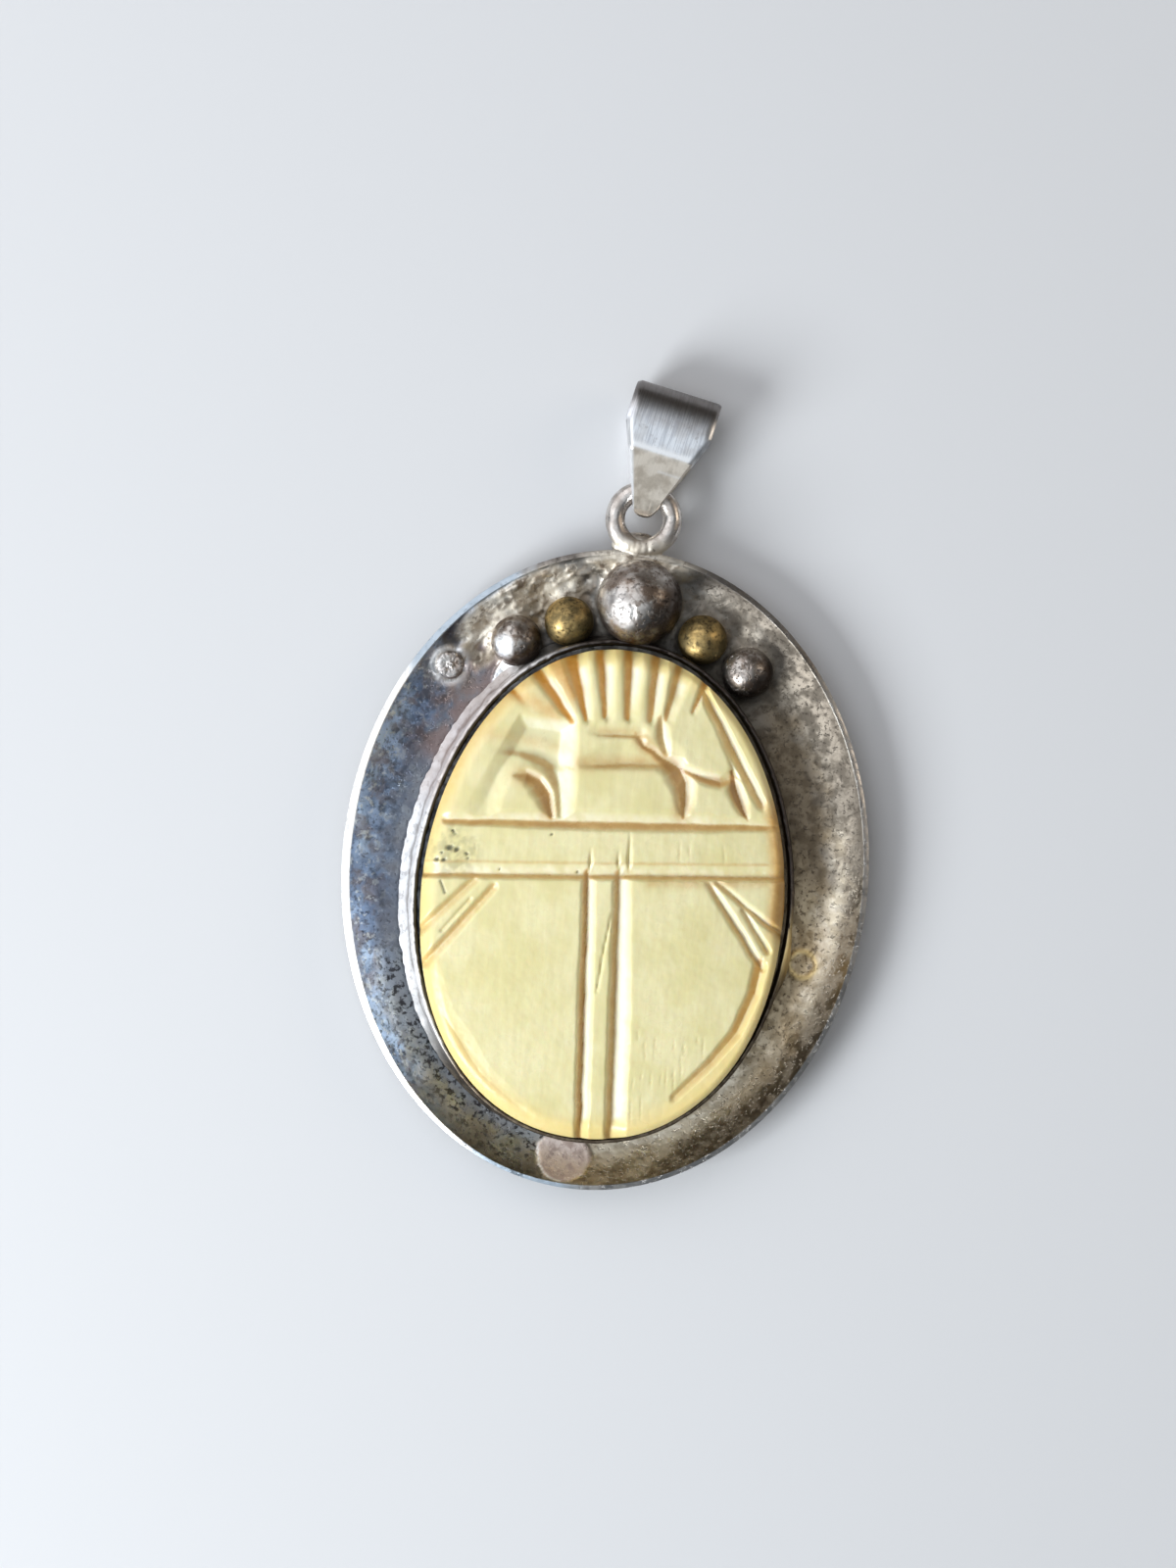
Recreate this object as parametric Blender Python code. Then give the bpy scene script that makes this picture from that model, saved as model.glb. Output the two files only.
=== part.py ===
"""A silver pendant with a carved bone scarab, lying face up on its flat back.

X runs across the pendant, +Y along it towards the bail, and Z up from the back.
"""
from functools import partial
from math import cos, pi, radians, sin

import bmesh
import bpy
from mathutils import Matrix, Vector

# The dish: one oval sheet of silver, flat under the scarab and turned up to a rim. The sheet's
# own cut edge faces up and out all round.
DISH_WIDTH = 0.0336
DISH_LENGTH = 0.0409
SHEET = 0.0008
RIM_RISE = 0.0018
RIM_ARC = radians(50)
RIM_FACE = 0.00045
RIM_FACE_DROP = 0.0003
RIM_EDGE = 0.00025

# The scarab: a plaque of bone with a sloping edge and a slightly domed face.
SCARAB_WIDTH = 0.0231
SCARAB_LENGTH = 0.0309
SCARAB_THICKNESS = 0.0034
SCARAB_DROP = 0.0014
SCARAB_EDGE = 0.0021
SHOULDER_WIDTH = 0.0011
SHOULDER_HEIGHT = 0.0008
SCARAB_SQUARENESS = 2.12
CARVING_SKEW = radians(4.4)

# The bezel: a thin silver strip round the scarab, low below and leaning out at the upper left.
BEZEL_WALL = 0.00035
BEZEL_HEIGHT = 0.0021
BEZEL_LOW_HEIGHT = 0.0012
BEZEL_LEAN = 0.00045
BEZEL_LEAN_TOWARDS = radians(165)

# The balls, in order outwards from the large one, which fills the top of the channel but for a
# margin. The small one lies loose from the rest, at a share of the way from bezel to rim.
LARGE_BALL_MARGIN = 0.00025
BRASS_BALL = 0.0032
SILVER_BALL = 0.0033
SMALL_BALL = 0.0019
LARGE_BALL_ACROSS = 0.0006
SMALL_BALL_DISTANCE = 0.0045
SMALL_BALL_SHARE = 0.64
BALL_NESTING = 0.9
BALL_SINK = 0.35

# The ring and the bail that the pendant hangs from. The bail's points sit in the ring's hole,
# so their places and width are shares of its radius, and their heights of the leaf's height.
RING_DIAMETER = 0.0049
RING_WIRE = 0.00125
RING_BITE = 0.32
RING_ACROSS = 0.00035
BAIL_LENGTH = 0.0085
BAIL_WIDTH = 0.0056
BAIL_THICKNESS = 0.0006
BAIL_FOLD = 0.0026
BAIL_LIFT = 0.0001
BAIL_LEAN = radians(12)
BAIL_SIDEWAYS = -0.17
POINT_WIDTH = 0.84
POINT_REACH = 0.25
POINT_KNEE = (0.55, 0.72)
LEAF_START = 0.9
CREASE_ALONG = 0.69
CREASE_RISE = 0.75

# Neighbours that are soldered, set or rested together keep this clearance.
GAP = 0.0003

# The carving. Places are shares of the scarab's half width and half length from its middle,
# along the carving's own axes; widths and depths are real sizes.
LINE_WIDTH = 0.0009
LINE_DEPTH = 0.00045
LINE_LEAN = 0.3
BASE_LINE = ((-0.85, 0.278), (0.935, 0.278))
WING_LINE = ((-1.1, 0.079), (1.1, 0.079))
SEAM_PLACES = (-0.08, 0.112)
SEAM_WIDTHS = (0.00104, 0.0016)
SEAM_DEPTH = 0.0005
SEAM_LEAN = 0.25
SEAM_DRIFT = -0.017
SEAM_END = -1.07
FAN_FOCUS = (0.02, 0.447)
FAN_START = 0.27
FAN_END = 0.68
FAN_FIRST = radians(38)
FAN_STEP = radians(-13.6)
FAN_GROOVES = 6
FAN_WIDTHS = (0.0005, 0.0014)
FAN_DEPTH = 0.0006
PANEL_DEPTH = 0.0006
PANEL_FLOOR = 0.93
MOUND_RADII = (0.125, 0.158)
LEFT_MOUND = (-0.433, 0.324)
LEFT_PANEL_OUTSIDE = ((-0.50, 0.705), (-0.79, 0.317), (-0.57, 0.317))
LEFT_PANEL_INSIDE = ((-0.26, 0.44), (-0.12, 0.595), (-0.19, 0.69))
RIGHT_MOUND = (0.606, 0.324)
RIGHT_PANEL_INSIDE = ((0.234, 0.686), (0.21, 0.64), (0.30, 0.563), (0.424, 0.453), (0.46, 0.317))
RIGHT_PANEL_OUTSIDE = ((0.83, 0.324), (0.79, 0.466), (0.52, 0.783))
BROW = ((-0.173, 0.531), (0.286, 0.531))
BROW_WIDTH = 0.0009
BROW_DEPTH = 0.0003
CROWN = ((-0.052, 0.66), (0.182, 0.66))
CROWN_WIDTH = 0.0006
CROWN_DEPTH = 0.0002
CHEEK = ((-0.277, 0.44), (-0.225, 0.291))
CHEEK_WIDTHS = (0.0007, 0.0013)
BORDER = ((0.554, 0.809), (0.90, 0.375))
BORDER_WIDTHS = (0.0006, 0.0009)
LEGS = (((-1.02, -0.181), (-0.72, 0.045)), ((-0.95, -0.298), (-0.606, 0.006)),
        ((0.632, 0.039), (0.996, -0.207)), ((0.571, 0.026), (0.874, -0.298)))
LEG_WIDTH = 0.0007
LEG_DEPTH = 0.00035
WING_EDGE_MIDDLE = (0, -0.194)
WING_EDGE_RADII = (0.90, 0.738)
WING_EDGE_WIDTHS = (0.0007, 0.0010)
SIDE_CUT_DEPTH = 0.0004

AROUND = 64
RIM_STEPS = 5
DOME_RINGS = 4
FOLD_STEPS = 14
CUTTER_RISE = 0.0006
BALL_STEP = radians(0.1)

CHANNEL_TOP = DISH_LENGTH / 2 - (SCARAB_LENGTH / 2 - SCARAB_DROP + GAP + BEZEL_WALL)
LARGE_BALL = CHANNEL_TOP - LARGE_BALL_MARGIN
SEAT_TOP = SHEET + GAP
SCARAB_CENTRE = Vector((0, -SCARAB_DROP, 0))
RIM_TOP = SHEET + RIM_RISE
RING_HEIGHT = RIM_TOP - SHEET / 2


def linear(hex_colour):
    """An sRGB hex colour as linear values."""
    channels = [int(hex_colour[i:i + 2], 16) / 255 for i in (0, 2, 4)]
    return [c / 12.92 if c <= 0.04045 else ((c + 0.055) / 1.055) ** 2.4 for c in channels]


def make_material(name, hex_colour, roughness, metallic):
    material = bpy.data.materials.new(name)
    material.use_nodes = True
    shader = material.node_tree.nodes["Principled BSDF"]
    shader.inputs["Base Color"].default_value = (*linear(hex_colour), 1)
    shader.inputs["Roughness"].default_value = roughness
    shader.inputs["Metallic"].default_value = metallic
    material.diffuse_color = (*linear(hex_colour), 1)
    return material


def make_object(name, bm, collection, material=None):
    """Turns a bmesh into an object with its faces pointing out."""
    bmesh.ops.recalc_face_normals(bm, faces=bm.faces)
    mesh = bpy.data.meshes.new(name)
    bm.to_mesh(mesh)
    bm.free()
    thing = bpy.data.objects.new(name, mesh)
    collection.objects.link(thing)
    if material:
        mesh.materials.append(material)
        mesh.shade_smooth()
        mesh.set_sharp_from_angle(angle=radians(35))
    return thing


def make_cutter(name, bm, collection):
    cutter = make_object(name, bm, collection)
    cutter.hide_render = True
    cutter.display_type = "WIRE"
    return cutter


def cut(thing, cutter):
    boolean = thing.modifiers.new(cutter.name, "BOOLEAN")
    boolean.operation = "DIFFERENCE"
    boolean.solver = "EXACT"
    boolean.object = cutter


def signed_power(value, power):
    return abs(value) ** power * (1 if value >= 0 else -1)


def oval_point(width, length, centre, angle, squareness=2.0):
    """A point of an oval at this angle; a squareness of 2 is an ellipse."""
    x = width / 2 * signed_power(cos(angle), 2 / squareness)
    y = length / 2 * signed_power(sin(angle), 2 / squareness)
    return Vector((x, y, 0)) + centre


def angles():
    return [2 * pi * i / AROUND for i in range(AROUND)]


def scarab_outline(grow, angle):
    """The scarab's outline, grown sideways by a distance."""
    return oval_point(SCARAB_WIDTH + 2 * grow, SCARAB_LENGTH + 2 * grow, SCARAB_CENTRE, angle,
                      SCARAB_SQUARENESS)


def loft(rings, closed=False):
    """Skins closed rings of points in order; the last joins the first, or both ends are capped."""
    bm = bmesh.new()
    loops = [[bm.verts.new(point) for point in ring] for ring in rings]
    pairs = list(zip(loops, loops[1:]))
    if closed:
        pairs.append((loops[-1], loops[0]))
    for lower, upper in pairs:
        for i in range(len(lower)):
            j = (i + 1) % len(lower)
            bm.faces.new((lower[i], lower[j], upper[j], upper[i]))
    if not closed:
        bm.faces.new(reversed(loops[0]))
        bm.faces.new(loops[-1])
    return bm


def dish_section(clearance=0):
    """The dish's section from the back up round the rim and down to its floor.

    Each entry is a share of the way from the seat to the rim, a distance out from there and
    a height. With a clearance it is the room that the dish and what is under it take up.
    """
    arc = []
    for i in range(RIM_STEPS + 1):
        turn = RIM_ARC * i / RIM_STEPS
        arc.append((sin(turn) / sin(RIM_ARC), (1 - cos(turn)) / (1 - cos(RIM_ARC)) * RIM_RISE))
    under = [(share, 0, -clearance if clearance else height) for share, height in arc]
    over = [(share, 0, SHEET + height + clearance) for share, height in reversed(arc)]
    edge = [(1, RIM_FACE + clearance, RIM_TOP - RIM_FACE_DROP - RIM_EDGE - clearance),
            (1, RIM_FACE + clearance, RIM_TOP - RIM_FACE_DROP + clearance)]
    return under + edge + over


def dish_point(share, out, angle):
    """A point of the dish in plan, between the flat seat and the inner line of the cut edge."""
    seat = scarab_outline(GAP + BEZEL_WALL, angle)
    width = DISH_WIDTH - 2 * RIM_FACE + 2 * out
    length = DISH_LENGTH - 2 * RIM_FACE + 2 * out
    return seat.lerp(oval_point(width, length, Vector(), angle), share)


def dish_body(clearance=0):
    rings = []
    for share, out, height in dish_section(clearance):
        rings.append([dish_point(share, out, angle) + Vector((0, 0, height)) for angle in angles()])
    return loft(rings)


def dish_height(x, y):
    """The height of the dish's upper face at a place in the channel."""
    section = dish_section()[RIM_STEPS + 3:]
    place = Vector((x, y, 0))
    angle = min(angles(), key=lambda a: nearest_on_ray(place, a)[0])
    share = nearest_on_ray(place, angle)[1]
    for (outer, _, high), (inner, _, low) in zip(section, section[1:]):
        if share >= inner:
            return low + (high - low) * (share - inner) / (outer - inner)


def nearest_on_ray(place, angle):
    """How far a place is from the line between seat and rim at an angle, and its share of the way."""
    seat = dish_point(0, 0, angle)
    along = dish_point(1, 0, angle) - seat
    share = min(1, max(0, (place - seat).dot(along) / along.length_squared))
    return (place - seat - along * share).length, share


def ease(value):
    """Goes smoothly from 0 to 1 as the value does."""
    value = min(1, max(0, value))
    return value * value * (3 - 2 * value)


def bezel_top(angle):
    rise = ease(1 + sin(angle))
    return SEAT_TOP + BEZEL_LOW_HEIGHT + (BEZEL_HEIGHT - BEZEL_LOW_HEIGHT) * rise


def bezel_lean(angle):
    return BEZEL_LEAN * max(0, cos(angle - BEZEL_LEAN_TOWARDS))


def bezel_rings(grow=0):
    """The bezel's outer and inner faces, each from foot to top, its outside grown by a distance."""
    rings = [[], [], [], []]
    for angle in angles():
        foot = Vector((0, 0, SEAT_TOP - grow))
        top = Vector((0, 0, bezel_top(angle) + grow))
        lean = bezel_lean(angle)
        rings[0].append(scarab_outline(GAP + BEZEL_WALL + grow, angle) + foot)
        rings[1].append(scarab_outline(GAP + BEZEL_WALL + grow + lean, angle) + top)
        rings[2].append(scarab_outline(GAP + lean, angle) + top)
        rings[3].append(scarab_outline(GAP, angle) + foot)
    return rings


def scarab_height(place):
    """The height of the uncarved face at a place given along the carving's own axes."""
    place = Matrix.Rotation(CARVING_SKEW, 3, "Z") @ Vector((place.x, place.y, 0))
    reach_x = abs(place.x) / (SCARAB_WIDTH / 2 - SHOULDER_WIDTH)
    reach_y = abs(place.y) / (SCARAB_LENGTH / 2 - SHOULDER_WIDTH)
    reach = (reach_x ** SCARAB_SQUARENESS + reach_y ** SCARAB_SQUARENESS) ** (1 / SCARAB_SQUARENESS)
    dome = SCARAB_THICKNESS - SCARAB_EDGE - SHOULDER_HEIGHT
    shoulder = SEAT_TOP + SCARAB_EDGE + SHOULDER_HEIGHT
    if reach <= 1:
        return shoulder + dome * (1 - reach ** 2)
    mean_radius = (SCARAB_WIDTH + SCARAB_LENGTH) / 4 - SHOULDER_WIDTH
    return shoulder - SHOULDER_HEIGHT * min(1, (reach - 1) * mean_radius / SHOULDER_WIDTH)


def scarab_body():
    dome = SCARAB_THICKNESS - SCARAB_EDGE - SHOULDER_HEIGHT
    shoulder = SEAT_TOP + SCARAB_EDGE + SHOULDER_HEIGHT
    sides = [(0, SEAT_TOP), (0, SEAT_TOP + SCARAB_EDGE)]
    rings = [[scarab_outline(out, a) + Vector((0, 0, z)) for a in angles()] for out, z in sides]
    for i in range(DOME_RINGS):
        share = 1 - i / DOME_RINGS
        height = Vector((0, 0, shoulder + dome * (1 - share ** 2)))
        rings.append([SCARAB_CENTRE.lerp(scarab_outline(-SHOULDER_WIDTH, a), share) + height
                      for a in angles()])
    bm = loft(rings)
    bmesh.ops.poke(bm, faces=[max(bm.faces, key=lambda f: f.calc_center_median().z)])
    crown = max(bm.verts, key=lambda v: (len(v.link_edges) == AROUND, v.co.z))
    crown.co.z = SEAT_TOP + SCARAB_THICKNESS
    return bm


def to_mount(place, height):
    """A place along the carving's axes, turned and moved to where the scarab is set."""
    turned = Matrix.Rotation(CARVING_SKEW, 3, "Z") @ Vector((place.x, place.y, 0))
    return turned + SCARAB_CENTRE + Vector((0, 0, height))


def on_scarab(point):
    """A place given as shares of the scarab's half width and half length, in metres."""
    return Vector((point[0] * SCARAB_WIDTH / 2, point[1] * SCARAB_LENGTH / 2))


def groove(points, widths, depth, lean=0.0, steps=4):
    """A V cut along straight runs, following the face; lean moves its bottom sideways."""
    ends = [Vector(point) for point in points]
    places = [start.lerp(end, i / steps) for start, end in zip(ends, ends[1:]) for i in range(steps)]
    places.append(ends[-1])
    rings = []
    for i, place in enumerate(places):
        ahead = places[min(i + 1, len(places) - 1)] - places[max(i - 1, 0)]
        side = Vector((ahead.y, -ahead.x)).normalized()
        half = (widths[0] + (widths[1] - widths[0]) * i / (len(places) - 1)) / 2
        face = scarab_height(place)
        rise = CUTTER_RISE / depth
        rings.append([to_mount(place + side * lean * half, face - depth),
                      to_mount(place + side * half * (1 + rise - lean * rise), face + CUTTER_RISE),
                      to_mount(place - side * half * (1 + rise + lean * rise), face + CUTTER_RISE)])
    return loft(rings)


def line(points, width, depth, **options):
    """A groove of one width between places given as shares of the scarab."""
    return groove([on_scarab(point) for point in points], (width, width), depth, **options)


def pocket(outline, depth):
    """A recess with this outline, its floor a depth below the face and its walls sloping in."""
    places = [on_scarab(point) for point in outline]
    middle = sum(places, Vector((0, 0))) / len(places)
    rings = [[], []]
    for place in places:
        face = scarab_height(place)
        rings[0].append(to_mount(middle.lerp(place, PANEL_FLOOR), face - depth))
        rings[1].append(to_mount(place, face + CUTTER_RISE))
    bm = loft(rings)
    bmesh.ops.triangulate(bm, faces=bm.faces)
    return bm


def arc_points(middle, radii, start, end, steps):
    """Points of an arc, between two angles in degrees."""
    points = []
    for i in range(steps + 1):
        angle = radians(start + (end - start) * i / steps)
        points.append((middle[0] + radii[0] * cos(angle), middle[1] + radii[1] * sin(angle)))
    return points


def carving():
    """Every cut in the scarab's face, by name."""
    cuts = {
        "base_line": line(BASE_LINE, LINE_WIDTH, LINE_DEPTH, lean=LINE_LEAN),
        "wing_line": line(WING_LINE, LINE_WIDTH, LINE_DEPTH, lean=LINE_LEAN),
        "brow": line(BROW, BROW_WIDTH, BROW_DEPTH),
        "crown": line(CROWN, CROWN_WIDTH, CROWN_DEPTH),
        "cheek": groove([on_scarab(point) for point in CHEEK], CHEEK_WIDTHS, SIDE_CUT_DEPTH),
        "border": groove([on_scarab(point) for point in BORDER], BORDER_WIDTHS, SIDE_CUT_DEPTH),
    }
    for i, (across, width) in enumerate(zip(SEAM_PLACES, SEAM_WIDTHS)):
        ends = ((across, WING_LINE[0][1]), (across + SEAM_DRIFT, SEAM_END))
        cuts[f"seam_{i}"] = line(ends, width, SEAM_DEPTH, lean=SEAM_LEAN, steps=6)
    for i in range(FAN_GROOVES):
        turn = FAN_FIRST + FAN_STEP * i
        away = Vector((-sin(turn), cos(turn))) * SCARAB_LENGTH / 2
        ends = [on_scarab(FAN_FOCUS) + away * share for share in (FAN_START, FAN_END)]
        cuts[f"fan_{i}"] = groove(ends, FAN_WIDTHS, FAN_DEPTH)
    left_arc = arc_points(LEFT_MOUND, MOUND_RADII, 180, 20, 6)
    right_arc = arc_points(RIGHT_MOUND, MOUND_RADII, 160, 0, 6)
    cuts["left_panel"] = pocket([*LEFT_PANEL_OUTSIDE, *left_arc, *LEFT_PANEL_INSIDE], PANEL_DEPTH)
    cuts["right_panel"] = pocket([*RIGHT_PANEL_INSIDE, *right_arc, *RIGHT_PANEL_OUTSIDE], PANEL_DEPTH)
    for i, leg in enumerate(LEGS):
        cuts[f"leg_{i}"] = line(leg, LEG_WIDTH, LEG_DEPTH)
    edge = [on_scarab(point) for point in arc_points(WING_EDGE_MIDDLE, WING_EDGE_RADII, -5, -62, 7)]
    cuts["wing_edge"] = groove(edge, WING_EDGE_WIDTHS, SIDE_CUT_DEPTH, steps=1)
    return cuts


def beside_bezel(size):
    """The track of a ball of this size that nests against the bezel, by angle."""
    return lambda angle: scarab_outline(GAP + BEZEL_WALL + size / 2 * BALL_NESTING, angle)


def place_beyond(last, distance, track, way):
    """Steps along a track, one way round from the last ball, until it is this far from it."""
    start = min(range(720), key=lambda i: (track(2 * pi * i / 720) - last).length)
    angle = 2 * pi * start / 720
    while (track(angle) - last).length < distance:
        angle += BALL_STEP * way
    return track(angle)


def build_balls(collection, cutters, silver, brass):
    """Sets the balls against the bezel, each as far from the last as their sizes ask."""
    def make_ball(name, diameter, place, material, segments):
        radius = diameter / 2
        bm = bmesh.new()
        bmesh.ops.create_uvsphere(bm, u_segments=segments, v_segments=segments // 2, radius=radius)
        ball = make_object(name, bm, collection, material)
        height = dish_height(place.x, place.y) + radius * (1 - BALL_SINK)
        ball.location = (place.x, place.y, height)
        cut(ball, cutters["dish_clearance"])
        cut(ball, cutters["bezel_clearance"])

    large_place = Vector((LARGE_BALL_ACROSS, beside_bezel(LARGE_BALL)(pi / 2).y, 0))
    make_ball("large_ball", LARGE_BALL, large_place, silver, 28)
    for side, way in (("left", 1), ("right", -1)):
        last, last_size = large_place, LARGE_BALL
        for kind, size, material in (("brass", BRASS_BALL, brass), ("silver", SILVER_BALL, silver)):
            last = place_beyond(last, (last_size + size) / 2 + GAP, beside_bezel(size), way)
            last_size = size
            make_ball(f"{kind}_ball_{side}", size, last, material, 20)
        if side == "left":
            track = partial(dish_point, SMALL_BALL_SHARE, 0)
            make_ball("small_ball", SMALL_BALL, place_beyond(last, SMALL_BALL_DISTANCE, track, way),
                      silver, 14)


def ring_centre():
    bite = RING_WIRE * RING_BITE
    return Vector((RING_ACROSS, DISH_LENGTH / 2 - bite + RING_DIAMETER / 2, RING_HEIGHT))


def build_ring(collection, cutters, silver):
    bpy.ops.mesh.primitive_torus_add(
        major_segments=32, minor_segments=12,
        major_radius=(RING_DIAMETER - RING_WIRE) / 2, minor_radius=RING_WIRE / 2)
    ring = bpy.context.object
    ring.name = "jump_ring"
    ring.location = ring_centre()
    ring.data.materials.append(silver)
    ring.data.shade_smooth()
    for owner in list(ring.users_collection):
        owner.objects.unlink(ring)
    collection.objects.link(ring)
    cut(ring, cutters["dish_clearance"])


def bail_path():
    """The strip's middle line as distance along the bail and height over the ring's plane."""
    hole = RING_DIAMETER / 2 - RING_WIRE
    leaf_height = RING_WIRE / 2 + GAP + BAIL_THICKNESS / 2
    fold_height = RING_HEIGHT - BAIL_LIFT - BAIL_THICKNESS / 2
    fold_start = BAIL_LENGTH - BAIL_THICKNESS / 2 - BAIL_FOLD
    leaf_start = hole * LEAF_START
    crease = leaf_start + (fold_start - leaf_start) * CREASE_ALONG
    front = [(hole * POINT_REACH, GAP / 2 + BAIL_THICKNESS / 3),
             (hole * POINT_KNEE[0], leaf_height * POINT_KNEE[1]),
             (leaf_start, leaf_height),
             (crease, leaf_height + (fold_height - leaf_height) * CREASE_RISE)]
    fold = []
    for i in range(FOLD_STEPS + 1):
        turn = pi / 2 - pi * i / FOLD_STEPS
        fold.append((fold_start + BAIL_FOLD * cos(turn), fold_height * sin(turn)))
    back = [(along, -height) for along, height in reversed(front)]
    return [Vector(point) for point in front + fold + back]


def build_bail(collection, silver):
    """A strip cut as two points end to end, folded over so that the points meet in the ring."""
    path = bail_path()
    hole = RING_DIAMETER / 2 - RING_WIRE
    widest = BAIL_LENGTH - BAIL_FOLD
    rings = []
    for i, place in enumerate(path):
        ahead = path[min(i + 1, len(path) - 1)] - path[max(i - 1, 0)]
        normal = Vector((-ahead.y, ahead.x)).normalized() * BAIL_THICKNESS / 2
        half = (hole * POINT_WIDTH + (BAIL_WIDTH - hole * POINT_WIDTH) * min(1, place.x / widest)) / 2
        outer, inner = place + normal, place - normal
        rings.append([Vector((-half, outer.x, outer.y)), Vector((half, outer.x, outer.y)),
                      Vector((half, inner.x, inner.y)), Vector((-half, inner.x, inner.y))])
    bail = make_object("bail", loft(rings), collection, silver)
    bail.location = ring_centre() + Vector((BAIL_SIDEWAYS * hole, 0, 0))
    bail.rotation_euler.z = -BAIL_LEAN


def main():
    for thing in list(bpy.data.objects):
        bpy.data.objects.remove(thing)
    collection = bpy.data.collections.new("scarab_pendant")
    cutter_collection = bpy.data.collections.new("cutters")
    for group in (collection, cutter_collection):
        bpy.context.scene.collection.children.link(group)

    silver = make_material("tarnished_silver", "6E6A68", 0.4, 1.0)
    polished = make_material("worn_silver", "A5A09C", 0.3, 1.0)
    brass = make_material("old_brass", "7A6234", 0.4, 1.0)
    bone = make_material("carved_bone", "E8DCAA", 0.45, 0.0)

    make_object("dished_frame", dish_body(), collection, silver)
    make_object("bezel", loft(bezel_rings(), closed=True), collection, silver)
    scarab = make_object("scarab", scarab_body(), collection, bone)
    for name, bm in carving().items():
        cut(scarab, make_cutter(name, bm, cutter_collection))

    cutters = {
        "dish_clearance": make_cutter("dish_clearance", dish_body(GAP), cutter_collection),
        "bezel_clearance": make_cutter("bezel_clearance", loft(bezel_rings(GAP)[:2]),
                                       cutter_collection),
    }
    build_balls(collection, cutters, silver, brass)
    build_ring(collection, cutters, polished)
    build_bail(collection, polished)


main()
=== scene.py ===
from math import cos, pi, radians, sin

import bmesh
import bpy
import numpy as np
from mathutils import Matrix, Vector, noise


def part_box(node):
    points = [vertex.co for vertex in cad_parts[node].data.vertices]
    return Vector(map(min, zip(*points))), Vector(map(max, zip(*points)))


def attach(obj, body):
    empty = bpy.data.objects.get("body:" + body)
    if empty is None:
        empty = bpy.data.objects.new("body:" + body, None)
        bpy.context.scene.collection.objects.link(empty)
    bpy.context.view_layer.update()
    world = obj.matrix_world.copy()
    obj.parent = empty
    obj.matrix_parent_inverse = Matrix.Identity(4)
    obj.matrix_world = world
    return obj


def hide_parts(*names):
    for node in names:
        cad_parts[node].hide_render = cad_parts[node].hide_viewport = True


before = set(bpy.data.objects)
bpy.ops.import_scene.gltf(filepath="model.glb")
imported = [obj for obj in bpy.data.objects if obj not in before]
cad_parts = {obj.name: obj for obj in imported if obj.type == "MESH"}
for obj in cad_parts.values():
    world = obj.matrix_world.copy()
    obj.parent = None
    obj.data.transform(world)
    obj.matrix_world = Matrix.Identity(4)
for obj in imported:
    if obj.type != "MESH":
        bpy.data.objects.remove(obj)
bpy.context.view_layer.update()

# The camera looks straight down on the pendant, which lies with its long axis a little
# clockwise of the picture's. The picture is 100 mm high at the rim.
MM = 0.001
PICTURE_HEIGHT = 100 * MM
CAMERA_DISTANCE = 260 * MM
CAMERA_AIM = Vector((-1.6, 5.35, 2.4)) * MM
CAMERA_ROLL = radians(5.4)
SENSOR = 36

camera_data = bpy.data.cameras.new("camera")
camera_data.sensor_width = SENSOR
camera_data.lens = SENSOR / 2 / (PICTURE_HEIGHT / 2 / CAMERA_DISTANCE)
camera_data.clip_start = 0.01
camera = bpy.data.objects.new("camera", camera_data)
bpy.context.scene.collection.objects.link(camera)
camera.location = CAMERA_AIM + Vector((0, 0, CAMERA_DISTANCE))
camera.rotation_euler = (0, 0, CAMERA_ROLL)
bpy.context.scene.camera = camera

# Plain soft studio light: a cool panel at the left and a little below, as a window would be,
# a weak warm one at the right, and broad faint ones for the metal to mirror. Each has its name,
# its place and size in mm, its watts and its colour.
PANELS = (
    ("window_panel", (-240, -180, 190), 170, 1.40, (0.93, 0.97, 1.0)),
    ("side_panel", (-170, 150, 190), 330, 0.42, (0.97, 0.97, 1.0)),
    ("warm_fill", (260, 110, 150), 140, 0.12, (1.0, 0.86, 0.70)),
    ("overhead_panel", (-30, -10, 330), 260, 0.14, (0.90, 0.95, 1.0)),
)
for name, place, size, watts, colour in PANELS:
    light = bpy.data.lights.new(name, "AREA")
    light.shape = "SQUARE"
    light.size = size * MM
    light.energy = watts
    light.color = colour
    lamp = bpy.data.objects.new(name, light)
    bpy.context.scene.collection.objects.link(lamp)
    lamp.location = Vector(place) * MM
    lamp.rotation_euler = (CAMERA_AIM - lamp.location).to_track_quat("-Z", "Y").to_euler()


def srgb(hex_colour):
    """An sRGB hex colour as a linear colour with alpha."""
    channels = [int(hex_colour[i:i + 2], 16) / 255 for i in (0, 2, 4)]
    return (*[c / 12.92 if c <= 0.04045 else ((c + 0.055) / 1.055) ** 2.4 for c in channels], 1)


def add(tree, kind, inputs=None, out=None, **settings):
    """Adds a node with its settings, values and links, and returns one of its outputs."""
    made = tree.nodes.new("ShaderNode" + kind)
    for key, value in settings.items():
        setattr(made, key, value)
    for key, value in (inputs or {}).items():
        by_name = [s for s in made.inputs if s.name == key and s.enabled]
        socket = by_name[0] if by_name else made.inputs[key]
        if isinstance(value, bpy.types.NodeSocket):
            tree.links.new(value, socket)
        else:
            socket.default_value = srgb(value) if isinstance(value, str) else value
    usable = [s for s in made.outputs if s.enabled]
    return next(s for s in usable if s.name == out) if out else usable[0]


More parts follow.
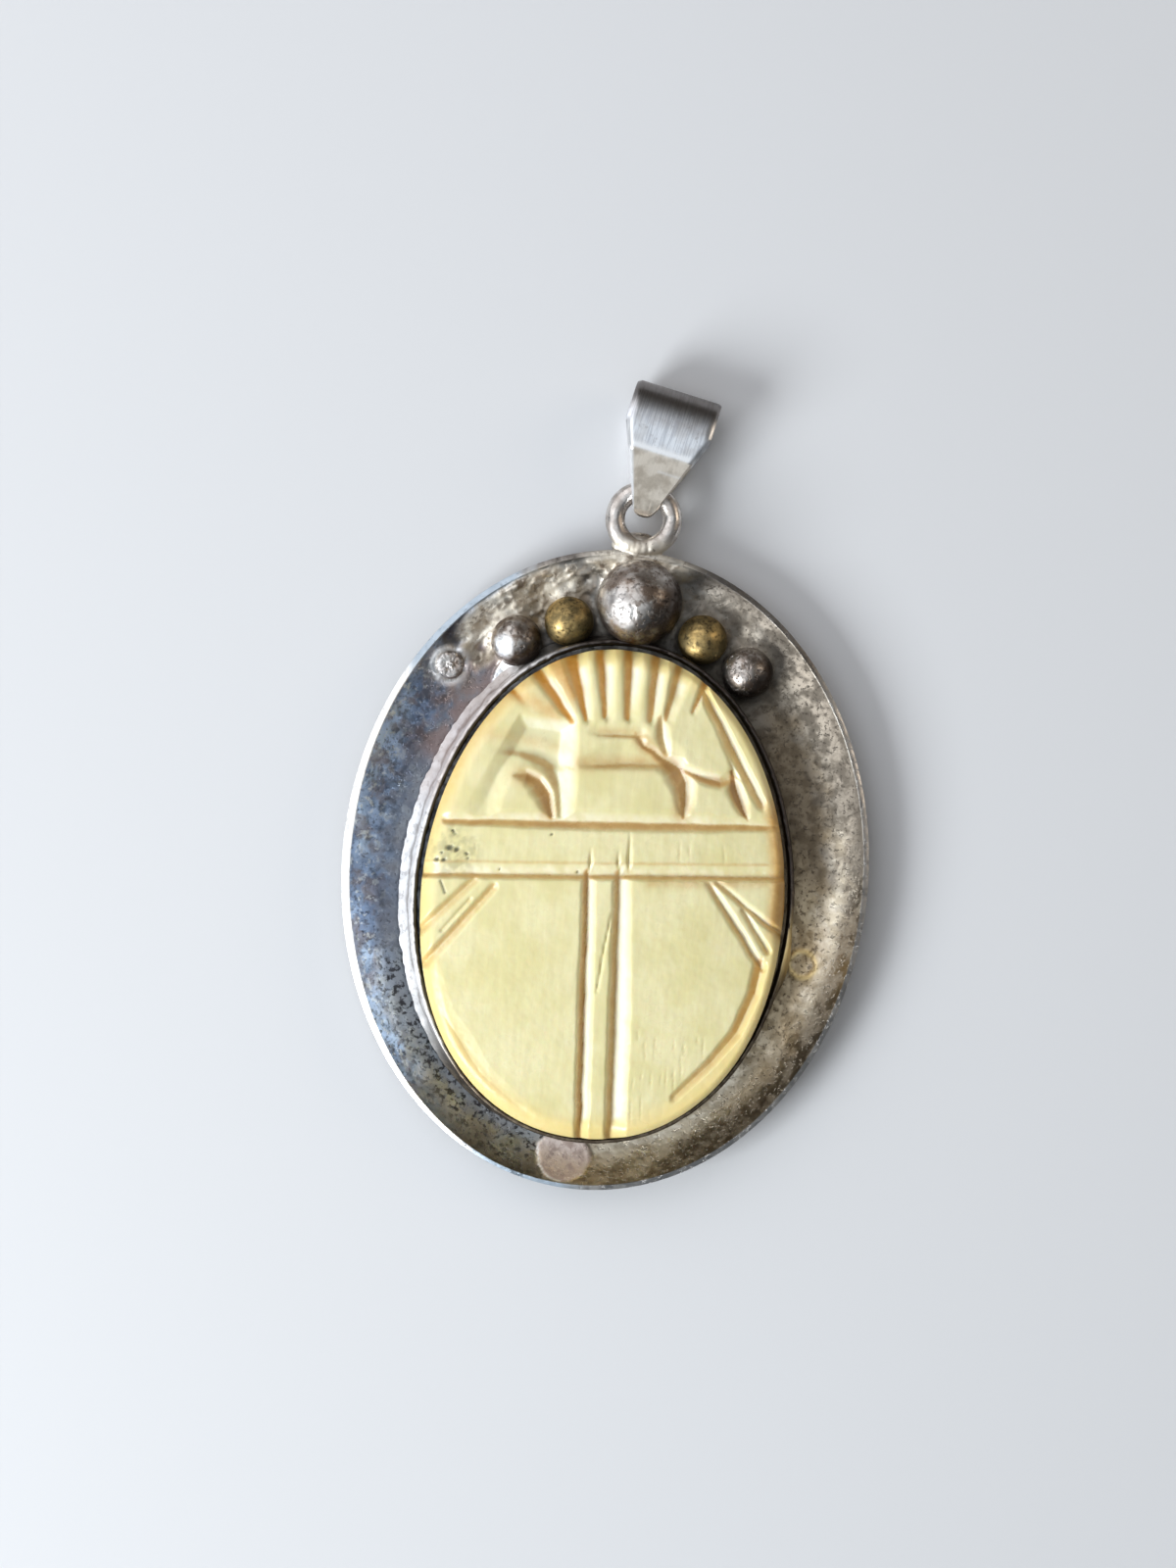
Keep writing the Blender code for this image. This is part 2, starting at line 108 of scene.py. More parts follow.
# The room is lighter towards the window and above, and darker beyond the top of the pendant.
ROOM_LIGHT_SIDE = (-0.35, -0.60, 0.45)
ROOM_STRENGTH = 0.32
world = bpy.data.worlds.new("pale_room")
world.use_nodes = True
tree = world.node_tree
towards = add(tree, "TexCoord", out="Generated")
facing = add(tree, "VectorMath", {0: towards, 1: ROOM_LIGHT_SIDE}, "Value",
             operation="DOT_PRODUCT")
share = add(tree, "MapRange", {"Value": facing, "From Min": -0.45, "From Max": 0.75})
tree.links.new(add(tree, "Mix", {"Factor": share, "A": "9A938A", "B": "CBD6E2"},
                   data_type="RGBA"), tree.nodes["Background"].inputs["Color"])
tree.nodes["Background"].inputs["Strength"].default_value = ROOM_STRENGTH
bpy.context.scene.world = world
bpy.context.scene.view_settings.view_transform = "Standard"

# The floor is a plain pale board, only there to lie on.
FLOOR_SIZE = 900 * MM


def new_material(name, **inputs):
    """A material with its shader's plain values set; returns it, its tree and its shader."""
    material = bpy.data.materials.new(name)
    material.use_nodes = True
    shader = material.node_tree.nodes["Principled BSDF"]
    for key, value in inputs.items():
        shader.inputs[key.replace("_", " ")].default_value = value
    return material, material.node_tree, shader


def dress(thing, material):
    """Gives a piece this material and no other."""
    thing.data.materials.clear()
    thing.data.materials.append(material)


board, _, _ = new_material("painted_board", Base_Color=srgb("D9DADC"), Roughness=0.6)
bm = bmesh.new()
bmesh.ops.create_grid(bm, x_segments=1, y_segments=1, size=FLOOR_SIZE / 2)
floor_mesh = bpy.data.meshes.new("floor")
bm.to_mesh(floor_mesh)
bm.free()
floor = bpy.data.objects.new("floor", floor_mesh)
bpy.context.scene.collection.objects.link(floor)
dress(floor, board)

# The dish is one oval sheet of silver, raised to a concave rim and filed flat across its cut edge.
# It is tarnished dark and mottled, with solder flooded round the balls and a patch at the bottom.
dish_low, dish_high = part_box("dished_frame")
scarab_low, scarab_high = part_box("scarab")
DISH_HALF = (Vector(dish_high) - Vector(dish_low)) / 2
SCARAB_HALF = (Vector(scarab_high) - Vector(scarab_low)) / 2
SCARAB_CENTRE = Vector((0, (scarab_high.y + scarab_low.y) / 2, 0))
RIM_TOP = dish_high.z
SHEET = 0.8 * MM
GAP = 0.3 * MM
BEZEL_WALL = 0.35 * MM
RIM_ARC = radians(50)
SQUARENESS = 2.12
NARROW_HEAD = 0.075
AROUND = 720
ACROSS = 76


def scarab_edge(grow, angle):
    """The bone's oval outline as x and y, grown by this much and narrowed towards its head."""
    c, s = np.cos(angle), np.sin(angle)
    x = SCARAB_CENTRE.x + (SCARAB_HALF.x + grow) * np.sign(c) * np.abs(c) ** (2 / SQUARENESS)
    y = SCARAB_CENTRE.y + (SCARAB_HALF.y + grow) * np.sign(s) * np.abs(s) ** (2 / SQUARENESS)
    return x * (1 - NARROW_HEAD * np.clip(s, 0, 1)), y


def scarab_share(x, y):
    """How far out each place is from the bone's middle, 1 at its full oval edge."""
    return ((np.abs(x) / SCARAB_HALF.x) ** SQUARENESS
            + (np.abs(y) / SCARAB_HALF.y) ** SQUARENESS) ** (1 / SQUARENESS)


def finish_mesh(name, bm, smooth_angle=None):
    """Makes an object of a bmesh, its faces pointing out, shaded smooth."""
    bmesh.ops.recalc_face_normals(bm, faces=bm.faces)
    mesh = bpy.data.meshes.new(name)
    bm.to_mesh(mesh)
    bm.free()
    mesh.shade_smooth()
    if smooth_angle:
        mesh.set_sharp_from_angle(angle=radians(smooth_angle))
    thing = bpy.data.objects.new(name, mesh)
    bpy.context.scene.collection.objects.link(thing)
    return thing


def warped_grid(columns, rows, warp, join_columns=False, join_rows=False, caps=False):
    """A grid whose points, given as arrays from 0 to 1 both ways, are moved by a warp."""
    bm = bmesh.new()
    bmesh.ops.create_grid(bm, x_segments=columns, y_segments=rows, size=1)
    flat = np.array([v.co for v in bm.verts])
    x, y, z = warp((flat[:, 0] + 1) / 2, (flat[:, 1] + 1) / 2)
    for vert, place in zip(bm.verts, zip(x, y, z)):
        vert.co = place
    if join_columns or join_rows:
        bmesh.ops.remove_doubles(bm, verts=[v for v in bm.verts if v.is_boundary], dist=1e-7)
    if caps:
        bmesh.ops.holes_fill(bm, edges=[e for e in bm.edges if e.is_boundary], sides=0)
    return bm


def attribute(thing, name, values):
    """Stores one number a point on a mesh, for its material to read."""
    layer = thing.data.attributes.new(name, "FLOAT", "POINT")
    layer.data.foreach_set("value", np.asarray(values, dtype=np.float32))


def points(thing):
    """The places of a mesh's points, one row each."""
    flat = np.empty(len(thing.data.vertices) * 3, np.float32)
    thing.data.vertices.foreach_get("co", flat)
    return flat.reshape(-1, 3).astype(float)


def move_points(thing, places):
    """Moves a mesh's points to these places."""
    thing.data.vertices.foreach_set("co", places.astype(np.float32).ravel())
    thing.data.update()


def lumps(places, size, seed, octaves=3):
    """Smooth noise at these places, about -1 to 1, with lumps of this size."""
    shift = Vector((seed * 7.3, seed * 3.1, seed * 1.7))
    return np.array([noise.fractal(Vector(p) / size + shift, 0.9, 2.0, octaves) for p in places])


def ease(value):
    """A smooth step from 0 to 1."""
    value = np.clip(value, 0, 1)
    return value * value * (3 - 2 * value)


def within(places, centre, half, turn=0.0, soft=0.3):
    """1 inside an oval patch and 0 outside, with a soft edge as a share of its size."""
    dx, dy = places[:, 0] - centre[0] * MM, places[:, 1] - centre[1] * MM
    a, b = dx * cos(turn) + dy * sin(turn), -dx * sin(turn) + dy * cos(turn)
    reach = np.sqrt((a / (half[0] * MM)) ** 2 + (b / (half[1] * MM)) ** 2)
    return ease((1 + soft / 2 - reach) / soft)


BALLS = {}
for node in ("large_ball", "brass_ball_left", "brass_ball_right", "silver_ball_left",
             "silver_ball_right", "small_ball"):
    low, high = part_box(node)
    radius = (high.x - low.x) / 2
    BALLS[node] = (Vector(((low.x + high.x) / 2, high.y - radius, high.z - radius)), radius)

# Heights, depths and reaches of the solder, the marks and the painted shadow beside the balls,
# and places and radii in mm. A ball's solder starts at a share of its radius, and the filed edge
# at a share of the way out.
FILLET = 0.55 * MM
FILLET_REACH = 0.36 * MM
BALL_SHADOW_REACH = 0.5 * MM
BALL_SEAT = 0.86
FLOOD = 0.22 * MM
WRINKLE = 0.13 * MM
DROP_HEIGHT = 0.22 * MM
HAMMERING = 0.04 * MM
WOBBLE = 0.14 * MM
PATCH_CENTRE = (-0.95, -18.4)
PATCH_SIZE = (1.7, 1.6)
PATCH_HEIGHT = 0.10 * MM
CRATER_RING = 0.12 * MM
CRATER_RADIUS = 1.05
RING_MARK = (13.2, -4.9)
RING_MARK_RADIUS = 0.85
RING_MARK_HEIGHT = 0.04 * MM
HOLLOW_DEPTH = 0.22 * MM
HOLLOWS = ((-9.9, 12.0, 0.5), (-9.2, 13.4, 0.35), (-3.0, 18.3, 0.35), (9.8, 12.6, 0.3))
EDGE_LINE = 0.998

# Floods of solder: middle, half sizes, turn in degrees, softness and strength.
FLOODS = (
    ((-6.6, 16.2), (4.6, 1.9), 32, 0.4, 1),
    ((-9.4, 13.2), (1.3, 1.1), 40, 0.6, 1),
    ((0.4, 19.6), (3.4, 1.1), 0, 0.6, 1),
    ((6.2, 16.6), (3.0, 1.3), -32, 0.6, 0.35),
)


def rim_face(angle):
    """The cut edge is filed wide at the left, and thins out below it and to the top."""
    return np.interp(np.degrees(angle) % 360, [100, 150, 175, 200, 222, 252, 275],
                     [0.3, 0.38, 0.5, 0.47, 0.34, 0.2, 0.3]) * MM


def dish_warp(u, v):
    """u runs round the dish and v up its underside, over the cut edge and down to its floor."""
    angle = 2 * pi * u
    under_part, edge_part = 0.2, 0.26
    under = v < under_part
    edge = (v >= under_part) & (v < edge_part)
    share = np.where(under, v / under_part, np.where(edge, 1, (1 - v) / (1 - edge_part)))
    turn = np.arcsin(np.clip(share, 0, 1) * sin(RIM_ARC))
    rise = (1 - np.cos(turn)) / (1 - cos(RIM_ARC)) * (RIM_TOP - SHEET)
    across = np.where(edge, (v - under_part) / (edge_part - under_part), 0)
    face = rim_face(angle)
    corners = [0, 0.2, 0.35, 0.5, 0.65, 1]
    out = np.where(edge, face * np.interp(across, corners, [0, 0.85, 1, 1, 0.93, 0]), 0)
    fall = face * np.interp(across, corners, [0, 1, 0.81, 0.55, 0.4, 0])
    edge_height = RIM_TOP - fall - np.interp(across, corners, [SHEET, 0, 0, 0, 0, 0])
    z = np.where(under, rise, np.where(edge, edge_height, SHEET + rise))
    seat_x, seat_y = scarab_edge(GAP + BEZEL_WALL, angle)
    rim = (DISH_HALF.x - face + out, DISH_HALF.y - face + out)
    c, s = np.cos(angle), np.sin(angle)
    rim_x, rim_y = rim[0] * c, rim[1] * s
    return seat_x + (rim_x - seat_x) * share, seat_y + (rim_y - seat_y) * share, z


bm = warped_grid(AROUND, ACROSS, dish_warp, join_columns=True, caps=True)
dish = finish_mesh("silver_dish", bm, smooth_angle=50)
places = points(dish)
reach = np.sqrt((places[:, 0] / DISH_HALF.x) ** 2 + (places[:, 1] / DISH_HALF.y) ** 2)
from_scarab = scarab_share(places[:, 0], places[:, 1] - SCARAB_CENTRE.y)
facing_up = np.array([n.vector.z for n in dish.data.vertex_normals])
bearing = np.degrees(np.arctan2(places[:, 1] / DISH_HALF.y, places[:, 0] / DISH_HALF.x)) % 360
face = rim_face(np.radians(bearing))
crest = np.hypot(places[:, 0] / (DISH_HALF.x - face), places[:, 1] / (DISH_HALF.y - face))
top_face = ((facing_up > 0.2) & (crest < EDGE_LINE)).astype(float)
broad, middling = lumps(places, 3.4 * MM, 8, 4), lumps(places, 1.1 * MM, 9, 5)


def arc(start, end, soft):
    """1 on a stretch of the dish between two bearings in degrees, with its ends broken up."""
    turned = (bearing - (start + end) / 2 + 180) % 360 - 180
    return ease(((end - start) / 2 - np.abs(turned + broad * soft * 0.6)) / soft + 0.5)


solder, painted_ball_shadow = np.zeros(len(places)), np.zeros(len(places))
lift = lumps(places, 2.6 * MM, 3) * HAMMERING * ease((1 - reach) / 0.12)
fine_lumps = lumps(places, 1.5 * MM, 5, 2)
for node, (centre, radius) in BALLS.items():
    small = node == "small_ball"
    distance = np.hypot(places[:, 0] - centre.x, places[:, 1] - centre.y) - radius * BALL_SEAT
    fillet = np.exp(-np.clip(distance, 0, None) / FILLET_REACH)
    height = FILLET * (0.4 if small else 1)
    lift = lift + height * fillet * (1 + 0.25 * fine_lumps)
    solder = np.maximum(solder, fillet)
    # Beside each ball, on its side away from the light, the dish is painted dark as the ball's
    # shadow.
    away_side = ((places[:, 0] - centre.x) - (places[:, 1] - centre.y)) / (distance + radius)
    dark = np.exp(-np.clip(distance, 0, None) / BALL_SHADOW_REACH) * ease((away_side + 0.2) / 0.9)
    painted_ball_shadow = np.maximum(painted_ball_shadow, dark * (0.3 if small else 1))
flood = np.zeros(len(places))
for middle, half, turn, soft, strength in FLOODS:
    flood = np.maximum(flood, strength * within(places, middle, half, radians(turn), soft))
folds = np.clip(1 - np.abs(lumps(places, 0.9 * MM, 14, 2)) / 0.2, 0, 1)
lift = lift + flood * (FLOOD * (1 + 1.1 * fine_lumps) + WRINKLE * folds)
solder = np.maximum(solder, flood)

# Two bright drops of solder at the left, then the patch, the crater, the ring mark and hollows.
bright = np.maximum(within(places, (-7.55, 12.0), (1.15, 0.62), radians(62), 0.25),
                    within(places, (-6.6, 12.15), (1.2, 0.42), radians(24), 0.3))
lift = lift + bright * DROP_HEIGHT
wobbled = places + np.stack([middling, broad, 0 * broad], axis=1) * WOBBLE
patch = within(wobbled, PATCH_CENTRE, PATCH_SIZE, 0, 0.12)
lift = lift + patch * PATCH_HEIGHT
crater_centre = BALLS["small_ball"][0]
crater = np.hypot(places[:, 0] - crater_centre.x, places[:, 1] - crater_centre.y) / MM
crater_wall = np.exp(-((crater - CRATER_RADIUS - 0.12 * fine_lumps) / 0.2) ** 2)
lift = lift + CRATER_RING * crater_wall
mark = np.hypot(wobbled[:, 0] - RING_MARK[0] * MM, wobbled[:, 1] - RING_MARK[1] * MM) / MM
ring_mark = np.exp(-((mark - RING_MARK_RADIUS) / 0.16) ** 2)
lift = lift + RING_MARK_HEIGHT * ring_mark
for x, y, size in HOLLOWS:
    hollow = np.exp(-(np.hypot(places[:, 0] / MM - x, places[:, 1] / MM - y) / size) ** 2)
    lift = lift - HOLLOW_DEPTH * hollow
    solder = solder * (1 - hollow)
places[:, 2] += lift * top_face * ease((EDGE_LINE - crest) / 0.02)
move_points(dish, places)

# Where each film and stain of the tarnish lies, from 0 to 1, and where shade, shadows and
# highlights are painted over them.
on_edge = (crest >= EDGE_LINE) & (facing_up > -0.4)
inner = ease((1.30 - from_scarab + 0.06 * middling) / 0.14)
# A blue-grey film along the left, partly a painted reflection of the cool light from that side.
attribute(dish, "blue", top_face * arc(112, 236, 14) * (1 - 0.75 * inner))
attribute(dish, "brown", top_face * np.maximum(arc(262, 416, 26), 0.8 * inner * arc(262, 424, 20)))
attribute(dish, "outer", top_face * arc(296, 420, 20)
          * ease((crest - 0.90 + 0.02 * middling) / 0.05))
attribute(dish, "umber", top_face * inner * arc(322, 398, 22))
attribute(dish, "soot", top_face * arc(203, 268, 12)
          * ease(0.62 + 0.55 * inner + 0.5 * broad - 0.55 * ease((reach - 0.86) / 0.1)))
attribute(dish, "copper", top_face * inner * arc(118, 158, 10) * ease(0.8 + middling))
attribute(dish, "purple", top_face * within(places, (-10.9, 14.3), (1.3, 0.8), radians(48), 0.7))
attribute(dish, "solder", np.clip(solder, 0, 1) * (facing_up > -0.2))
attribute(dish, "vein", np.clip(flood, 0, 1) * folds * top_face)
attribute(dish, "painted_ball_shadow", np.clip(painted_ball_shadow, 0, 1) * top_face)
attribute(dish, "patch", patch * top_face)
attribute(dish, "straw_and_glint", ring_mark * top_face)
# The patch's left edge, towards the light, takes a painted highlight.
patch_lit_edge = 3 * patch * (1 - patch) * (places[:, 0] < PATCH_CENTRE[0] * MM)
attribute(dish, "bright", np.max([bright, 0.8 * crater_wall * (fine_lumps > -0.2), patch_lit_edge],
                                 axis=0) * top_face)
# The filed edge is bright metal. It is painted near white as a highlight along the left and below,
# where the light falls on it, and faintly at the right. A thinner pale painted highlight runs on
# from each end of that.
attribute(dish, "rim", on_edge * np.maximum(arc(146, 242, 12), 0.3 * arc(272, 400, 12)))
# Painted shade darkens the channel at the upper right.
attribute(dish, "painted_shade", top_face * arc(6, 78, 16))
attribute(dish, "thin_rim_highlight", on_edge * np.maximum(arc(112, 150, 8), arc(236, 272, 10)))
attribute(dish, "dull", np.max([np.clip(solder, 0, 1), 0.8 * arc(6, 78, 16), patch], axis=0)
          * top_face)


def blotches(tree, where, size_mm, low, high, detail=4.0, stretch=(1, 1, 1)):
    """Random blotches of about this size, cut off between two levels to give 0 to 1."""
    placed = add(tree, "Mapping", {"Vector": where, "Scale": stretch})
    cloud = add(tree, "TexNoise", {"Vector": placed, "Scale": 1 / (size_mm * MM),
                                   "Detail": detail, "Roughness": 0.6})
    return add(tree, "MapRange", {"Value": cloud, "From Min": low, "From Max": high},
               interpolation_type="SMOOTHSTEP")


def coats(tree, colour, *films):
    """Lays films of colour one over another.

    Each is its colour, then masks: nodes' outputs, names of attributes or plain strengths.
    """
    for tint, *masks in films:
        masks = [add(tree, "Attribute", out="Fac", attribute_name=mask)
                 if isinstance(mask, str) else mask for mask in masks]
        strength = masks[0]
        for mask in masks[1:]:
            strength = add(tree, "Math", {0: strength, 1: mask}, operation="MULTIPLY")
        colour = add(tree, "Mix", {"Factor": strength, "A": colour, "B": tint}, data_type="RGBA")
    return colour


# Sterling silver sheet, raised and left to tarnish: sulphide films from straw and brown to
# blue-grey and black, in blotches and pin spots. Thin films tint the metal, thick ones dull it.
# The blue-grey at the left is partly a painted reflection of the cool light from that side.
# Painted shade, painted shadows beside the balls, and painted highlights on the filed edge and
# the patch lie over the films.
dish_silver, tree, shader = new_material("tarnished_sterling_sheet", Metallic=1.0)
where = add(tree, "TexCoord", out="Object")
clouds = blotches(tree, where, 3.0, 0.38, 0.62)
mottle = blotches(tree, where, 0.9, 0.42, 0.6, 7)
grit = blotches(tree, where, 0.42, 0.5, 0.6, 6)
pins = blotches(tree, where, 0.25, 0.57, 0.65, 5)
patches = blotches(tree, where, 1.7, 0.47, 0.58, 6)
flecks = blotches(tree, where, 0.6, 0.56, 0.62, 6)
colour = coats(
    tree, "9C9894", ("837E79", clouds), ("6A635C", mottle, 0.5),
    ("AFC6E4", "blue"), ("687C9E", "blue", clouds, 0.75), ("565861", "blue", grit, 0.6),
    ("8F8A8E", "blue", patches, 0.6), ("D6DEE2", "blue", flecks, 0.6),
    ("F0E6D2", "brown", 0.92), ("B8A98C", "brown", mottle, 0.4),
    ("8A7350", "brown", patches, 0.3), ("6B5F54", "outer", 0.6),
    ("6A635B", "painted_shade", 0.8),
    ("94805F", "umber", 0.8), ("A08A84", "copper", 0.8),
    ("332C33", "purple", 0.9), ("ACB2B8", "soot", 0.55),
    ("B4BCC0", "soot", patches, 0.55), ("292526", "soot", grit, 0.85), ("2A2527", pins, 0.35),
    ("EAE3D5", "solder", 0.95), ("AFA28E", "solder", patches, 0.8),
    ("6E6050", "solder", flecks, 0.6), ("77604C", "vein", 0.45),
    ("7A7268", "painted_shade", 0.5),
    ("2B241F", "painted_ball_shadow", 0.9), ("F2E4DC", "patch"), ("A8948A", "patch", mottle, 0.6),
    ("B4C2CE", "thin_rim_highlight", 0.9), ("EBCF8E", "straw_and_glint", 0.6),
    ("FAFBFC", "bright"), ("FBFAF7", "rim"),
)
tree.links.new(colour, shader.inputs["Base Color"])
rough = add(tree, "MapRange", {"Value": mottle, "To Min": 0.28, "To Max": 0.5})
dulled = add(tree, "Attribute", out="Fac", attribute_name="dull")
rough = add(tree, "Math", {0: dulled, 1: 0.25, 2: rough}, operation="MULTIPLY_ADD")
tree.links.new(rough, shader.inputs["Roughness"])
uneven = add(tree, "TexNoise", {"Vector": where, "Scale": 1 / (0.45 * MM), "Detail": 5.0})
heights = add(tree, "Math", {0: pins, 1: -0.5, 2: uneven}, operation="MULTIPLY_ADD")
bump = add(tree, "Bump", {"Height": heights, "Distance": 0.03 * MM, "Strength": 0.9})
tree.links.new(bump, shader.inputs["Normal"])
dress(dish, dish_silver)
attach(dish, "root")
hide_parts("dished_frame")

# The bezel is a strip of thin fine silver wrapped round the bone and rubbed over by hand.
# Its wall slants at the left, where it is rubbed bright and painted white as its lit side, and it
# is low and dark below. A small burr stands out at its right, with a painted golden glint on it.
bezel_low, bezel_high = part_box("bezel")
BEZEL_FOOT = bezel_low.z
BEZEL_TOP = bezel_high.z
BEZEL_LOW_TOP = BEZEL_FOOT + 1.2 * MM
BEZEL_SLANT = 1.05 * MM
BEZEL_SLANT_TOWARDS = radians(168)
BEZEL_BURR = 0.4 * MM
BEZEL_BURR_TOWARDS = radians(-12)
BEZEL_ROWS = 34


def bezel_warp(u, v):
    """u runs round the strip and v round its section, up the outside and down the inside."""
    angle = 2 * pi * u
    top = BEZEL_LOW_TOP + (BEZEL_TOP - BEZEL_LOW_TOP) * ease(1 + np.sin(angle))
    towards = np.maximum(0, np.cos(angle - BEZEL_SLANT_TOWARDS))
    corners = [0, 0.05, 0.42, 0.46, 0.54, 0.58, 0.95, 1]
    outward = np.interp(v, corners, [0.5, 1, 1, 0.75, 0.25, 0, 0, 0.5])
    upward = np.interp(v, corners, [0, 0.03, 0.93, 1, 1, 0.93, 0.03, 0])
    burr = np.exp((np.cos(angle - BEZEL_BURR_TOWARDS) - 1) / 0.009)
    slant = (BEZEL_SLANT * towards + BEZEL_BURR * burr) * outward * np.interp(
        upward, [0, 0.1, 0.25, 0.5, 1], [1, 0.72, 0.4, 0.14, 0])
    x, y = scarab_edge(0, angle)
    out = GAP + BEZEL_WALL * outward + slant
    return (x + np.cos(angle) * out, y + np.sin(angle) * out,
            BEZEL_FOOT + (top - BEZEL_FOOT) * upward)


bm = warped_grid(AROUND, BEZEL_ROWS, bezel_warp, join_columns=True, join_rows=True)
bezel = finish_mesh("bezel_strip", bm, smooth_angle=60)
places = points(bezel)
share_up = (places[:, 2] - BEZEL_FOOT) / (BEZEL_TOP - BEZEL_FOOT)
angle = np.arctan2(places[:, 1] - SCARAB_CENTRE.y, places[:, 0])
lit = ease((np.cos(angle - BEZEL_SLANT_TOWARDS) - 0.35) / 0.4)
away = places - np.array([0, SCARAB_CENTRE.y, 0])
away[:, 2] = 0
away /= np.linalg.norm(away, axis=1)[:, None]
rough_edge = lumps(places, 0.9 * MM, 11, 4) * (0.02 + 0.10 * lit * (1 - share_up)) * MM
places += away * rough_edge[:, None]
places[:, 2] += np.minimum(0, lumps(places, 0.6 * MM, 12)) * 0.12 * MM * ease(share_up * 2 - 1)
move_points(bezel, places)
# The slant at the left is scraped, and it is painted white as the side the light falls on.
attribute(bezel, "rubbed_and_lit", lit)
attribute(bezel, "coppery", ease((np.cos(angle - radians(138)) - 0.9) / 0.08))
outward = np.array([n.vector for n in bezel.data.vertex_normals])
# The inner wall, facing the bone, is painted dark as the shadow in the gap, and the upper part,
# away from the light, is painted in shade.
inside = ease(-(outward * away).sum(axis=1) * 3)
attribute(bezel, "painted_shade", np.maximum(ease(np.sin(angle) * 1.6 + 0.4) * (1 - lit), inside))
attribute(bezel, "inside", inside)
line = share_up - 0.42 - 0.16 * lumps(places, 1.6 * MM, 13, 2)
attribute(bezel, "crack", lit * np.exp(-(line / 0.07) ** 2) * (1 - inside))
# A painted golden glint runs along the burr at the right.
straw_and_glint = np.exp((np.cos(angle - BEZEL_BURR_TOWARDS) - 1) / 0.008) * (1 - inside)
attribute(bezel, "straw_and_glint", straw_and_glint)
attribute(bezel, "scraped_and_lit", np.maximum(lit, straw_and_glint))

# Fine silver strip: painted shade along the top and a painted shadow on its inner wall, scraped
# to a rough matt white where it slants at the left and painted white there as its lit side, a
# painted golden glint on the burr, and tarnished like the dish below.
bezel_silver, tree, shader = new_material("rubbed_fine_silver_strip", Roughness=0.46)
where = add(tree, "TexCoord", out="Object")
streaks = blotches(tree, where, 0.5, 0.35, 0.6, 6)
scrapes = blotches(tree, where, 0.55, 0.55, 0.6, 6)
colour = coats(tree, "857969", ("5E5347", streaks), ("474241", "painted_shade", 0.85),
               ("FFFFFF", "rubbed_and_lit"), ("B5AAA3", "rubbed_and_lit", streaks, 0.3),
               ("4E4642", "rubbed_and_lit", scrapes, 0.3), ("6E655F", "crack", 0.8), ("FFE2A0", "straw_and_glint"),
               ("B0958A", "coppery", 0.45), ("1F1B1A", "inside", 0.95))
tree.links.new(colour, shader.inputs["Base Color"])
scraped_and_lit = add(tree, "Attribute", out="Fac", attribute_name="scraped_and_lit")
matt = add(tree, "MapRange", {"Value": scraped_and_lit, "To Min": 1.0, "To Max": 0.35})
tree.links.new(matt, shader.inputs["Metallic"])
dress(bezel, bezel_silver)
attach(bezel, "root")
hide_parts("bezel")

# The scarab is a plaque of bone, sawn oval, with its edge filed to a slope and its back and head
# cut with V gouges. It is one piece. Brown dirt and old wax stay in the cuts, and brown shade is
# painted on the walls that face away from the light and beside the steps of the head.
SCARAB_FOOT = scarab_low.z
EDGE_TOP = SCARAB_FOOT + 2.1 * MM
SHOULDER_WIDTH = 1.1 * MM
SHOULDER_HEIGHT = 0.8 * MM
FACE_TOP = SCARAB_FOOT + 3.4 * MM
CARVING_SKEW = radians(4.4)
SCARAB_COLUMNS = 268
SCARAB_ROWS = 356
BONE_OVERHANG = 0.28 * MM


def overhang(angle):
    """How far the bone stands out over its own foot, in its lower half alone."""
    return BONE_OVERHANG * ease(-np.sin(angle) * 1.4)


def scarab_warp(u, v):
    """Maps a square grid to the oval and raises it to the uncarved face."""
    a, b = u * 2 - 1, v * 2 - 1
    x, y = a * np.sqrt(1 - b * b / 2), b * np.sqrt(1 - a * a / 2)
    radius, angle = np.minimum(1, np.hypot(x, y)), np.arctan2(y, x)
    edge_x, edge_y = scarab_edge(overhang(angle), angle)
    edge_x, edge_y = edge_x - SCARAB_CENTRE.x, edge_y - SCARAB_CENTRE.y
    from_edge = (1 - radius) * np.hypot(edge_x, edge_y)
    crisp = (1 - 0.55 * ease((np.cos(angle - radians(38)) - 0.72) / 0.2)
             - 0.6 * ease((np.cos(angle + radians(42)) - 0.7) / 0.2))
    slope = np.clip(from_edge / (SHOULDER_WIDTH * crisp), 0, 1)
    dome = FACE_TOP - EDGE_TOP - SHOULDER_HEIGHT
    inner = np.clip(radius * 1.09, 0, 1)
    z = EDGE_TOP + SHOULDER_HEIGHT * (1 - crisp * (1 - slope) ** 2) + dome * (1 - inner ** 2)
    return SCARAB_CENTRE.x + edge_x * radius, SCARAB_CENTRE.y + edge_y * radius, z


bm = warped_grid(SCARAB_COLUMNS, SCARAB_ROWS, scarab_warp)
scarab = finish_mesh("carved_scarab", bm)
places = points(scarab)

# Places on the face in mm along the carving's own axes, u to the right and v up.
dx, dy = places[:, 0] - SCARAB_CENTRE.x, places[:, 1] - SCARAB_CENTRE.y
face_u = (dx * cos(CARVING_SKEW) + dy * sin(CARVING_SKEW)) / MM
face_v = (-dx * sin(CARVING_SKEW) + dy * cos(CARVING_SKEW)) / MM
waver = lumps(places, 1.3 * MM, 20, 2) * 0.05
face_u, face_v = face_u + waver, face_v + waver * 0.8
cut = {"depth": np.zeros(len(places)), "dirt_and_shade": np.zeros(len(places)),
       "orange": np.zeros(len(places))}
TOWARDS_LIGHT = np.array([-0.80, -0.60])
DEEPEN = 1.2
HEAD_RUBS = 6
HEAD_FROM = 4.9
FILE_MARKS = 30
PIT_DEPTH = 0.10


